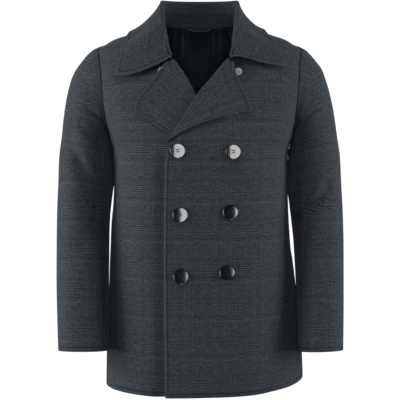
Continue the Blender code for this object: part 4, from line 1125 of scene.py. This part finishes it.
def makeCollar(grids):
    top = sideCells + rollCells
    left, right, back = grids["left"], grids["right"], grids["back"]
    shoulder, napeCells = pattern["shoulderColumns"] * finer, pattern["napeColumns"] * finer
    nape = slice(shoulder, shoulder + napeCells + 1)
    neck, normal = (
        np.concatenate([left[part][top:, 0], back[part][-1, nape][1:-1], right[part][top:, 0][::-1]])
        for part in ("points", "normals")
    )
    turns = np.concatenate([
        np.linspace(1.0, 0.5, neckCells + 1),
        np.linspace(0.5, -0.5, napeCells + 1)[1:-1],
        np.linspace(-0.5, -1.0, neckCells + 1),
    ])
    leafCells = pattern["leafSteps"] * finer
    t = (np.arange(1, leafCells + 1) / leafCells)[:, None]
    rollColumn = 2 * finer + pattern["foldSteps"] // 2
    points = []
    for i, turn in enumerate(turns):
        side = 1 if turn >= 0 else -1
        name = "left" if side > 0 else "right"
        at = abs(turn)
        rolled = sizesAt(collarSizes["roll"], collarSizes["rollNames"], at)
        roll, fold = np.array([side * rolled[name], rolled["depth"], rolled["height"]]), rolled["fold"]
        size = sizesAt(collarSizes[f"{name}Leaf"], collarSizes["leafNames"], at)
        angle = side * math.radians(size["angle"])
        edge = form(angle, size["height"]) + formNormal(angle, size["height"]) * size["stand"]
        upwards = unit(roll - neck[i])
        outward = unit(normal[i] - upwards * np.dot(normal[i], upwards))
        centre = roll - upwards * fold
        line = [mix(neck[i], centre - outward * fold, k / (2 * finer)) for k in range(2 * finer)]
        for k in range(pattern["foldSteps"] + 1):
            turned = math.pi * k / pattern["foldSteps"]
            line.append(centre - outward * fold * math.cos(turned) + upwards * fold * math.sin(turned))
        # the fall is one curve from the roll to the edge, straighter at the collar's ends
        start = line[-1]
        first = start + (outward * size["flare"] - upwards) * np.linalg.norm(edge - start) * size["drop"]
        second = mix(first, edge, 0.5)
        fall = start * (1 - t) ** 3 + 3 * first * t * (1 - t) ** 2 + 3 * second * t**2 * (1 - t) + edge * t**3
        down = t[:, 0]
        straight = mix(start[2], edge[2], down) - size["bow"] * 6.75 * down**2 * (1 - down)
        straight = straight + size["wave"] * np.sin(2 * math.pi * down)
        fall[:, 2] = mix(fall[:, 2], straight, ease(at, 0.8, 1.0))
        line.extend(pushOut(fall, mix(2 * fold, size["stand"], ease(down, 0, 0.6))))
        points.append(line)
    points = np.array(points)
    normals = gridNormals(points, first=normal)
    shared = unit(normals[:, 0] + normal)
    shared[[0, -1]] = normal[[0, -1]]
    normals[:, 0] = shared
    toward = (np.gradient(neck, axis=0), points[:, 1] - points[:, 0])
    points[:, 0], bodySide = seamSides(neck, shared, toward)
    count = neckCells + 1
    middle = slice(count - 1, len(turns) - count + 1)
    for part, line in (("points", bodySide), ("normals", shared)):
        left[part][top:, 0], right[part][top:, 0] = line[:count], line[-count:][::-1]
        back[part][-1, nape] = line[middle]
    # the check follows the collar: along the roll, and down from it
    half = len(points) // 2
    run = lengthsAlong(points[:, rollColumn + leafCells // 2][:, None], 0)
    down = lengthsAlong(points, 1)
    uv = np.stack([run - run[half] + 0 * down, down[:, rollColumn:rollColumn + 1] - down], axis=-1)
    gap = gapFrom(points, {"bottom", "top", "last"})
    return makeWall("collar_cloth", points, normals, uv, gap, (turnedFinish,), 0.9), points


def partSeams(grids):
    low = slice(0, sideCells + 1)
    for name in ("left", "right"):
        pullIn(grids[name]["points"], low, -1, low, -2)
        pullIn(grids[name]["points"], -1, slice(None), -2, slice(None))
    points = grids["back"]["points"]
    pullIn(points, low, 0, low, 1)
    pullIn(points, low, -1, low, -2)
    shoulder = pattern["shoulderColumns"] * finer
    for columns in (slice(0, shoulder + 1), slice(-shoulder - 1, None)):
        pullIn(points, -1, columns, -2, columns)


# ---- lining of the upper back, gathered a little under the collar
lining = {
    "thickness": 0.0010,
    "fromRow": 9,
    "columnsIn": 3,
    "dip": 0.0012,
    "gather": 0.0040,
    "gatherPitch": 0.0105,
    "gatherReach": 0.085,
    "plainMiddle": (0.012, 0.035),  # no gathers up to the first distance from the middle
    "sway": (1.3, 70),  # how far the gathers bend aside, and how often
    "uneven": (0.3, 190, 30),  # how much they differ, and how often across and down
    # painted highlight on the gathers' ridges
    "ridgeLight": (0.55, 0.35, 310),  # steady, varying, and how often it varies
}


def makeLiningBack(back):
    rows = slice(lining["fromRow"] * finer, None)
    columns = slice(lining["columnsIn"] * finer, -lining["columnsIn"] * finer)
    points, normals = back["points"][rows, columns], back["normals"][rows, columns]
    inset = cloth["thickness"] / 2 + cloth["seamGap"] + lining["thickness"] / 2
    across = points[..., 0]
    fromTop = lengthsAlong(points, 0)[-1:] - lengthsAlong(points, 0)
    reach = (1 - ease(fromTop, 0.0, lining["gatherReach"])) * ease(np.abs(across), *lining["plainMiddle"])
    (far, often), (uneven, level, down) = lining["sway"], lining["uneven"]
    wave = np.sin(2 * math.pi * across / lining["gatherPitch"] + far * np.sin(often * across))
    wave = 0.5 + 0.5 * wave * (1 - uneven + uneven * np.sin(level * across + down * fromTop))
    inner = points - normals * (inset + lining["gather"] * reach * wave)[..., None]
    for k in range(1, finer + 1):
        inner[k - 1 - finer] -= normals[k - 1 - finer] * lining["dip"] * (k / finer)
    inner[-1] = mix(inner[-1], inner[-2], 0.5)
    # painted highlight along the gathers' ridges
    plain, varied, often = lining["ridgeLight"]
    return makeWall(
        "lining_back_cloth", inner, gridNormals(inner, normals), back["uv"][rows, columns],
        gapFrom(inner, set()), (liningFinish,), 0.8, lining["thickness"],
        shade=np.clip(1.5 * reach, 0, 1) * wave**2 * (plain + varied * np.sin(often * across)),
    ), inner


# a band in an arc under the collar, its upper edge turned up, with a painted highlight along its edges,
# strongest at the upper one
loop = {
    "halfLength": 0.024,
    "width": 0.005,
    "wall": 0.0012,
    "sag": 0.0035,
    "gap": 0.0006,
    "cells": 40,
    "raised": 0.001,
    "bulge": 0.0003,
    "napeRadius": 0.083,
    # how strong the painted highlight is across the band
    "light": (0.9, 0.5, 0.0, 0.0, 0.0, 0.0, 0.4),  # from its upper edge down
}


def makeLoop():
    along = np.linspace(-1, 1, loop["cells"] + 1)
    sag = loop["sag"] * (1 - along**4)
    angle = math.pi - along * loop["halfLength"] / loop["napeRadius"]
    inset = cloth["thickness"] / 2 + 2 * cloth["seamGap"] + lining["thickness"]
    inset = inset + loop["gap"] + loop["wall"] / 2
    lines = []
    for part in np.linspace(0, 1, len(loop["light"])):
        height = body["napeHeight"] + loop["raised"] - sag * 0.5 - loop["width"] * part
        inward = inset + sag * 0.8 + loop["bulge"] * math.sin(math.pi * part)
        lines.append(form(angle, height) - formNormal(angle, height) * inward[:, None])
    points = np.array(lines)
    uv = np.stack([lengthsAlong(points, 1), lengthsAlong(points, 0)], axis=-1)
    # painted highlight across the band
    light = np.array(loop["light"])[:, None] + 0 * along
    normals = gridNormals(points, np.array([0.0, -1.0, 0.0]))
    return makeWall(
        "hanger_loop_tape", points, normals, uv, gapFrom(points, set()), (liningFinish,), 0.9, loop["wall"],
        shade=light,
    )


def settle(piece, *nodes, slotName="wool"):
    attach(piece, "root")
    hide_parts(*nodes)


def armholeGap(points, name):
    # distance along the rows to the armhole seam
    over = lengthsAlong(points, 1)
    gap = over[:, -1:] - over
    if name == "back":
        gap = np.minimum(gap, over)
    gap[:sideCells] = 1.0
    return gap


# painted shadow, darkening the fronts' colour below the collar and lapels and in the corners by the neck
# buttons
paintedShadeAndLight = {
    # how dark beside the neck and at the far end, and how wide there, along each of the collar's front edges
    "collar": (0.98, 0.40, 0.0150, 0.0050),
    # how dark and how wide along a lapel's outer and lower edge
    "outer": (0.30, 0.0034),
    "lower": (0.42, 0.0044),
    "below": 0.0025,
    # the corners between collar, lapels and neck buttons: across, height, half width, half height, how dark
    "corners": [
        (0.0740, -0.0925, 0.0160, 0.0090, 0.97),
        (-0.0735, -0.0915, 0.0130, 0.0080, 0.95),
        (0.0900, -0.0960, 0.0300, 0.0220, 0.42),
        (-0.0930, -0.0990, 0.0260, 0.0160, 0.35),
    ],
}


def paintedShadowBelowEdges(points):
    # painted shadow in the cloth's colour, in the gap below the collar's two front edges, deepest beside the
    # neck, and along the lapels
    start = 2 * finer + pattern["foldSteps"]
    edges = [(line[start:], *paintedShadeAndLight["collar"]) for line in (collarPoints[0], collarPoints[-1])]
    for lapel in (lapelPoints["left"], lapelPoints["right"]):
        for line, (dark, wide) in ((lapel[:, -1], paintedShadeAndLight["outer"]), (lapel[0], paintedShadeAndLight["lower"])):
            edges.append((line, dark, dark, wide, wide))
    shade = np.zeros(points.shape[:2])
    for line, strong, weak, wide, narrow in edges:
        for (x, _, z), part in zip(line, np.linspace(1, 0, len(line)) ** 2):
            apart = np.hypot(points[..., 0] - x, points[..., 2] - z + paintedShadeAndLight["below"])
            fade = np.exp(-((apart / mix(narrow, wide, part)) ** 2))
            shade = np.maximum(shade, mix(weak, strong, part) * fade)
    for x, z, wide, high, dark in paintedShadeAndLight["corners"]:
        apart = np.hypot((points[..., 0] - x) / wide, (points[..., 2] - z) / high)
        shade = np.maximum(shade, dark * np.exp(-(apart**4)))
    return np.where(points[..., 1] < 0, shade, 0)


grids = bodyGrids()
liningWall, liningPoints = makeLiningBack(grids["back"])
partSeams(grids)
sleeves = makeSleeves(grids)
lapelWalls, lapelPoints = {}, {}
for name, side in (("left", 1), ("right", -1)):
    lapelWalls[name], lapelPoints[name] = makeLapel(name, side, grids)
collar, collarPoints = makeCollar(grids)
fronts = {}
for name, grid in grids.items():
    gap = gapFrom(grid["points"], {"bottom"} if name == "back" else {"bottom", "first"})
    if name != "back":
        gap[sideCells:] = 1.0
    # the fronts carry painted shadow below the collar and lapels
    fronts[name] = makeWall(
        "back_cloth" if name == "back" else f"front_{name}_cloth", grid["points"], grid["normals"],
        grid["uv"], gap, (woolFinish, liningFinish), 0.7,
        seam=armholeGap(grid["points"], name), shade=paintedShadowBelowEdges(grid["points"]),
    )
loopTape = makeLoop()

for name in ("left", "right"):
    settle(fronts[name], f"front_{name}")
    settle(lapelWalls[name], f"lapel_{name}")
settle(fronts["back"], "back")
settle(collar, "collar")
for name, (wall, points) in sleeves.items():
    settle(wall, name)
settle(liningWall, "lining_back", slotName="lining")
settle(loopTape, "hanger_loop", slotName="lining")
print("cloth made")


# ---- buttons: turned, dished and cut through by four holes
buttonSizes = {
    "radius": 0.0153,
    "thickness": 0.0040,
    "holeRadius": 0.0014,
    "holeSpread": 0.0029,
    "steps": 64,
    "gap": 0.0003,
    # across, height, and how far each one's face leans up and aside, in degrees
    "large": [
        ("button_top_inner", -0.0433, -0.2654, -0.3, 2.9),
        ("button_top_outer", 0.0670, -0.2674, -0.3, 0.4),
        ("button_middle_inner", -0.0387, -0.3934, 2.5, 3.8),
        ("button_middle_outer", 0.0616, -0.3884, 2.5, 2.8),
        ("button_bottom_inner", -0.0379, -0.5175, 5.3, 5.3),
        ("button_bottom_outer", 0.0551, -0.5106, 8.0, 3.2),
    ],
    "small": [
        ("neck_button_left", 0.0775, -0.1087, 0.0, 5.0),
        ("neck_button_right", -0.0757, -0.1068, -6.0, -8.0),
    ],
    "smallRadius": 0.0072,
    "smallThickness": 0.0026,
    # shares of the radius and of the thickness, from the middle of the dish over the rim to below
    "profile": [
        (0.0, 0.850), (0.20, 0.853), (0.40, 0.863), (0.60, 0.880), (0.75, 0.897), (0.88, 0.915),
        (0.93, 0.923), (0.940, 0.945), (0.950, 0.975), (0.962, 1.0), (0.975, 0.97), (0.988, 0.88),
        (0.996, 0.74), (1.0, 0.60), (0.99, 0.44), (0.95, 0.24), (0.87, 0.07), (0.76, 0.0), (0.0, 0.0),
    ],
}
# sewing thread of a large button, a small one's is scaled with it
sewing = {
    "thick": 0.00055,
    "drawn": 0.8,
    "apart": 0.49,
    "floor": 0.85,
    "lift": 0.0007,
    "dip": 0.0006,
    "sides": 8,
}


def turnedButton(name, radius, thickness):
    profile = buttonSizes["profile"]
    mesh = bpy.data.meshes.new(name)
    corners = [(across * radius, 0.0, up * thickness) for across, up in profile]
    mesh.from_pydata(corners, [(i, i + 1) for i in range(len(profile) - 1)], [])
    turned = bpy.data.objects.new(name, mesh)
    bpy.context.scene.collection.objects.link(turned)
    screw = turned.modifiers.new("turn", "SCREW")
    screw.steps = screw.render_steps = buttonSizes["steps"]
    screw.use_merge_vertices = True
    screw.merge_threshold = 0.00002
    scale = radius / buttonSizes["radius"]
    spread = buttonSizes["holeSpread"] * scale
    cutters = []
    for k in range(4):
        phase = math.pi / 4 + k * math.pi / 2
        bpy.ops.mesh.primitive_cylinder_add(
            vertices=20, radius=buttonSizes["holeRadius"] * scale, depth=4 * thickness,
            location=(spread * math.cos(phase), spread * math.sin(phase), 0.0),
        )
        cutters.append(bpy.context.object)
        turned.modifiers.new("hole", "BOOLEAN").object = cutters[-1]
    graph = bpy.context.evaluated_depsgraph_get()
    made = bpy.data.meshes.new_from_object(turned.evaluated_get(graph))
    made.shade_smooth()
    made.set_sharp_from_angle(angle=math.radians(50))
    for helper in cutters + [turned]:
        bpy.data.objects.remove(helper)
    return made


def threadBars(radius, thickness):
    # two threads across each pair of holes, lifted a little between them
    scale = radius / buttonSizes["radius"]
    spread = buttonSizes["holeSpread"] * scale / math.sqrt(2)
    thick = sewing["thick"] * scale
    sides = sewing["sides"]
    vertices, faces = [], []
    apart = sewing["apart"] * thick
    for y in (-spread - apart, -spread + apart, spread - apart, spread + apart):
        path = []
        for share in np.linspace(-1, 1, 9):
            lift = math.sqrt(max(0.0, 1 - share**4)) * sewing["lift"] * scale
            dip = sewing["dip"] * (abs(share) > 0.99)
            path.append(Vector((share * spread, y, sewing["floor"] * thickness + lift - dip)))
        base, last = len(vertices), len(path) - 1
        for i, p in enumerate(path):
            turn = (path[min(i + 1, last)] - path[max(i - 1, 0)]).normalized().to_track_quat("Z", "Y")
            for k in range(sides):
                a = 2 * math.pi * k / sides
                away = Vector((math.cos(a), math.sin(a), 0)) * (thick * sewing["drawn"])
                vertices.append(tuple(p + turn @ away))
        for i in range(last):
            for k in range(sides):
                a, b = base + i * sides + k, base + i * sides + (k + 1) % sides
                faces.append((a, b, b + sides, a + sides))
        faces.append(tuple(base + k for k in reversed(range(sides))))
        faces.append(tuple(base + last * sides + k for k in range(sides)))
    return vertices, faces


def placeOn(tree, across, height, radius, up, aside):
    # a button's place just off the cloth below it, and the way its face looks
    hits = []
    for share in (0.0, 0.3, 0.6, 0.8):
        for k in range(16):
            turn = k * math.pi / 8
            x, z = across + share * radius * math.cos(turn), height + share * radius * math.sin(turn)
            hits.append(tree.ray_cast(Vector((x, -1.0, z)), Vector((0.0, 1.0, 0.0)))[0])
    up, aside = math.radians(up), math.radians(aside)
    facing = Vector((math.sin(aside) * math.cos(up), -math.cos(aside) * math.cos(up), math.sin(up)))
    highest = max((point - hits[0]).dot(facing) for point in hits)
    return hits[0] + facing * (highest + buttonSizes["gap"]), facing


def addTurned(name, mesh, turn, finish):
    mesh.materials.clear()
    mesh.materials.append(finish)
    mesh.transform(turn)
    made = bpy.data.objects.new(name, mesh)
    coat.objects.link(made)
    return made


def makeButtons(fronts):
    trees = {}
    for side in ("left", "right"):
        mesh = fronts[side].data
        trees[side] = BVHTree.FromPolygons([v.co for v in mesh.vertices], [p.vertices for p in mesh.polygons])
    for size, finish, slotName in (("large", buttonFinish, "button"), ("small", silverFinish, "neck_button")):
        radius = buttonSizes["radius" if size == "large" else "smallRadius"]
        thickness = buttonSizes["thickness" if size == "large" else "smallThickness"]
        base = turnedButton(f"{size} button", radius, thickness)
        vertices, faces = threadBars(radius, thickness)
        for name, across, height, up, aside in buttonSizes[size]:
            side = "left" if across > 0 or size == "large" else "right"
            place, facing = placeOn(trees[side], across, height, radius, up, aside)
            turn = facing.to_track_quat("Z", "Y").to_matrix().to_4x4()
            turn.translation = place
            settle(addTurned(f"{name}_turned", base.copy(), turn, finish), name, slotName=slotName)
            bars = bpy.data.meshes.new(f"{name}_thread")
            bars.from_pydata(vertices, [], faces)
            bars.shade_smooth()
            sewn = addTurned(f"{name}_thread", bars, turn, threadFinish)
            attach(sewn, "root")


makeButtons(fronts)
print("buttons made")


# ---- edge stitching, laid along paths by one Geometry Nodes tree
stitching = {
    "Pitch": 0.0042,
    "Length": 0.0028,
    "Thickness": 0.00034,
    "Seed": 7,
    "wobble": 0.05,
    "fromEdge": 0.0085,
    "sunk": 0.0002,  # how deep the thread's middle lies in the cloth
}
stitchLinks = [
    ("inputs", "Path", "curve", "Mesh"),
    ("curve", "Curve", "resample", "Curve"),
    ("inputs", "Pitch", "resample", "Length"),
    ("resample", "Curve", "points", "Curve"),
    ("points", "Points", "place", "Points"),
    ("points", "Rotation", "place", "Rotation"),
    ("bead", "Mesh", "place", "Instance"),
    ("inputs", "Length", "half", 0),
    ("inputs", "Thickness", "shape", "X"),
    ("inputs", "Thickness", "shape", "Y"),
    ("half", 0, "shape", "Z"),
    ("shape", 0, "place", "Scale"),
    ("inputs", "Seed", "jitter", "Seed"),
    ("place", "Instances", "wobble", "Instances"),
    ("jitter", 0, "wobble", "Rotation"),
    ("wobble", "Instances", "realize", "Geometry"),
    ("realize", "Geometry", "paint", "Geometry"),
    ("inputs", "Thread", "paint", "Material"),
    ("paint", "Geometry", "output", "Stitches"),
]


def stitchTree():
    tree = bpy.data.node_groups.new("edge stitching", "GeometryNodeTree")
    for name, way, kind in (
        ("Path", "INPUT", "Geometry"), ("Pitch", "INPUT", "Float"), ("Length", "INPUT", "Float"),
        ("Thickness", "INPUT", "Float"), ("Seed", "INPUT", "Int"), ("Thread", "INPUT", "Material"),
        ("Stitches", "OUTPUT", "Geometry"),
    ):
        tree.interface.new_socket(name, in_out=way, socket_type=f"NodeSocket{kind}")
    nodes = {}
    for name, kind in (
        ("inputs", "NodeGroupInput"), ("output", "NodeGroupOutput"), ("curve", "GeometryNodeMeshToCurve"),
        ("resample", "GeometryNodeResampleCurve"), ("points", "GeometryNodeCurveToPoints"),
        ("bead", "GeometryNodeMeshUVSphere"), ("place", "GeometryNodeInstanceOnPoints"),
        ("shape", "ShaderNodeCombineXYZ"), ("half", "ShaderNodeMath"), ("jitter", "FunctionNodeRandomValue"),
        ("wobble", "GeometryNodeRotateInstances"), ("realize", "GeometryNodeRealizeInstances"),
        ("paint", "GeometryNodeSetMaterial"),
    ):
        nodes[name] = tree.nodes.new(kind)
    nodes["resample"].mode, nodes["points"].mode = "LENGTH", "EVALUATED"
    nodes["half"].operation = "MULTIPLY"
    nodes["jitter"].data_type = "FLOAT_VECTOR"
    for name, socket, value in (
        ("bead", "Segments", 8), ("bead", "Rings", 5), ("bead", "Radius", 1.0), ("half", 1, 0.5),
        ("jitter", "Min", [-stitching["wobble"]] * 3), ("jitter", "Max", [stitching["wobble"]] * 3),
    ):
        nodes[name].inputs[socket].default_value = value
    for start, output, end, socket in stitchLinks:
        tree.links.new(nodes[start].outputs[output], nodes[end].inputs[socket])
    return tree


def insetPaths(points, normals, borders):
    # lines that run the stitching's distance inside the named borders of a grid, on its outer face
    rows, columns = points.shape[:2]
    down, over = lengthsAlong(points, 0), lengthsAlong(points, 1)
    inset = stitching["fromEdge"]
    clear = inset * 0.97

    def bilinear(grid, i, j):
        i0, j0 = int(min(i, rows - 2)), int(min(j, columns - 2))
        a, b = i - i0, j - j0
        return (
            grid[i0, j0] * (1 - a) * (1 - b) + grid[i0 + 1, j0] * a * (1 - b)
            + grid[i0, j0 + 1] * (1 - a) * b + grid[i0 + 1, j0 + 1] * a * b
        )

    paths = []
    for border in borders:
        if border in ("first", "last"):
            far = over[:, -1] - inset if border == "last" else np.full(rows, inset)
            line = [(i, np.interp(far[i], over[i], np.arange(columns))) for i in range(rows)]
        else:
            far = down[-1] - inset if border == "top" else np.full(columns, inset)
            line = [(np.interp(far[j], down[:, j], np.arange(rows)), j) for j in range(columns)]
        kept = []
        for i, j in line:
            fromBottom = down[int(i), int(j)]
            fromTop, fromLast = down[-1, int(j)] - fromBottom, over[int(i), -1] - over[int(i), int(j)]
            if border in ("first", "last"):
                crossed = "bottom" in borders and fromBottom < clear or "top" in borders and fromTop < clear
            else:
                crossed = "last" in borders and fromLast < clear
            if not crossed:
                raised = cloth["thickness"] / 2 - stitching["sunk"]
                kept.append(bilinear(points, i, j) + unit(bilinear(normals, i, j)) * raised)
        if len(kept) > 2:
            paths.append(kept)
    return paths


def outwardNormals(points, wall):
    normals = gridNormals(points)
    probe = points.shape[1] * 3 + 3
    facing = np.dot(normals.reshape(-1, 3)[probe], wall.data.vertices[probe].normal)
    return normals if facing > 0 else -normals


def makeStitches(name, points, wall, borders, tree):
    vertices, edges = [], []
    for path in insetPaths(points, outwardNormals(points, wall), borders):
        base = len(vertices)
        vertices.extend(tuple(p) for p in path)
        edges.extend((base + i, base + i + 1) for i in range(len(path) - 1))
    mesh = bpy.data.meshes.new(f"{name} path")
    mesh.from_pydata(vertices, edges, [])
    guide = bpy.data.objects.new(f"{name} path", mesh)
    bpy.context.scene.collection.objects.link(guide)
    modifier = guide.modifiers.new("stitches", "NODES")
    modifier.node_group = tree
    sockets = {item.name: item.identifier for item in tree.interface.items_tree if item.in_out == "INPUT"}
    for setting in ("Pitch", "Length", "Thickness", "Seed"):
        modifier[sockets[setting]] = stitching[setting]
    modifier[sockets["Thread"]] = threadFinish
    graph = bpy.context.evaluated_depsgraph_get()
    sewn = bpy.data.meshes.new_from_object(guide.evaluated_get(graph))
    bpy.data.objects.remove(guide)
    sewn.shade_smooth()
    made = bpy.data.objects.new(name, sewn)
    coat.objects.link(made)
    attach(made, "root")
    print(name, len(sewn.polygons), "faces")


tree = stitchTree()
makeStitches("collar_stitches", collarPoints, collar, ["last", "bottom", "top"], tree)
for name, wall in lapelWalls.items():
    makeStitches(f"lapel_{name}_stitches", lapelPoints[name], wall, ["last", "bottom"], tree)
print("stitches made")


# ---- floor, light and backdrop
stageSizes = {
    "floorHeight": -1.45,
    "floorSize": 60.0,
    "floorColour": (0.12, 0.17, 0.24, 1.0),
    "air": (0.66, 0.84, 1.0, 1.0),
    "ambient": 0.08,
    "white": 1.05,
}


def seenWhite(tree, plain, outputName, kind):
    # the camera sees plain white, everything else meets the plain shader
    white = tree.nodes.new(kind)
    white.inputs["Color"].default_value = (1.0, 1.0, 1.0, 1.0)
    white.inputs["Strength"].default_value = stageSizes["white"]
    path, both = tree.nodes.new("ShaderNodeLightPath"), tree.nodes.new("ShaderNodeMixShader")
    tree.links.new(path.outputs["Is Camera Ray"], both.inputs[0])
    tree.links.new(plain, both.inputs[1])
    tree.links.new(white.outputs[0], both.inputs[2])
    tree.links.new(both.outputs[0], tree.nodes[outputName].inputs["Surface"])


bpy.ops.mesh.primitive_plane_add(size=stageSizes["floorSize"], location=(0.0, 0.0, stageSizes["floorHeight"]))
floor = bpy.context.object
floor.name = "floor"
paint = Finish("floor")
paint.shaderSet(Base_Color=stageSizes["floorColour"], Roughness=0.9)
seenWhite(paint.tree, paint.shader.outputs[0], "Material Output", "ShaderNodeEmission")
floor.data.materials.append(paint.material)

world = bpy.data.worlds.new("studio")
bpy.context.scene.world = world
world.use_nodes = True
background = world.node_tree.nodes["Background"]
background.inputs["Color"].default_value = stageSizes["air"]
background.inputs["Strength"].default_value = stageSizes["ambient"]
seenWhite(world.node_tree, background.outputs[0], "World Output", "ShaderNodeBackground")

# name, place, aimed at, width, height, power
lights = [
    ("front", (0.0, -2.7, -0.40), (0.0, 0.0, -0.38), 0.51, 0.66, 8.0),
    ("top front", (0.0, -1.3, 1.45), (0.0, 0.0, -0.10), 0.90, 0.50, 9.5),
    ("side left", (-2.35, -0.56, -0.15), (0.0, -0.10, -0.40), 1.0, 1.4, 46.0),
    ("side right", (2.35, -0.66, -0.15), (0.0, -0.10, -0.40), 1.0, 1.4, 39.0),
    ("strip left", (-1.95, -1.35, -0.35), (0.0, -0.1, -0.40), 0.20, 1.4, 5.0),
]
for name, place, aim, width, height, power in lights:
    data = bpy.data.lights.new(name, "AREA")
    data.shape = "RECTANGLE"
    data.size, data.size_y = width, height
    data.energy = power
    lamp = bpy.data.objects.new(name, data)
    lamp.location = place
    lamp.rotation_euler = (Vector(aim) - Vector(place)).to_track_quat("-Z", "Y").to_euler()
    bpy.context.scene.collection.objects.link(lamp)

bpy.context.scene.view_settings.view_transform = "Standard"
bpy.context.scene.view_settings.look = "None"
print("stage set")
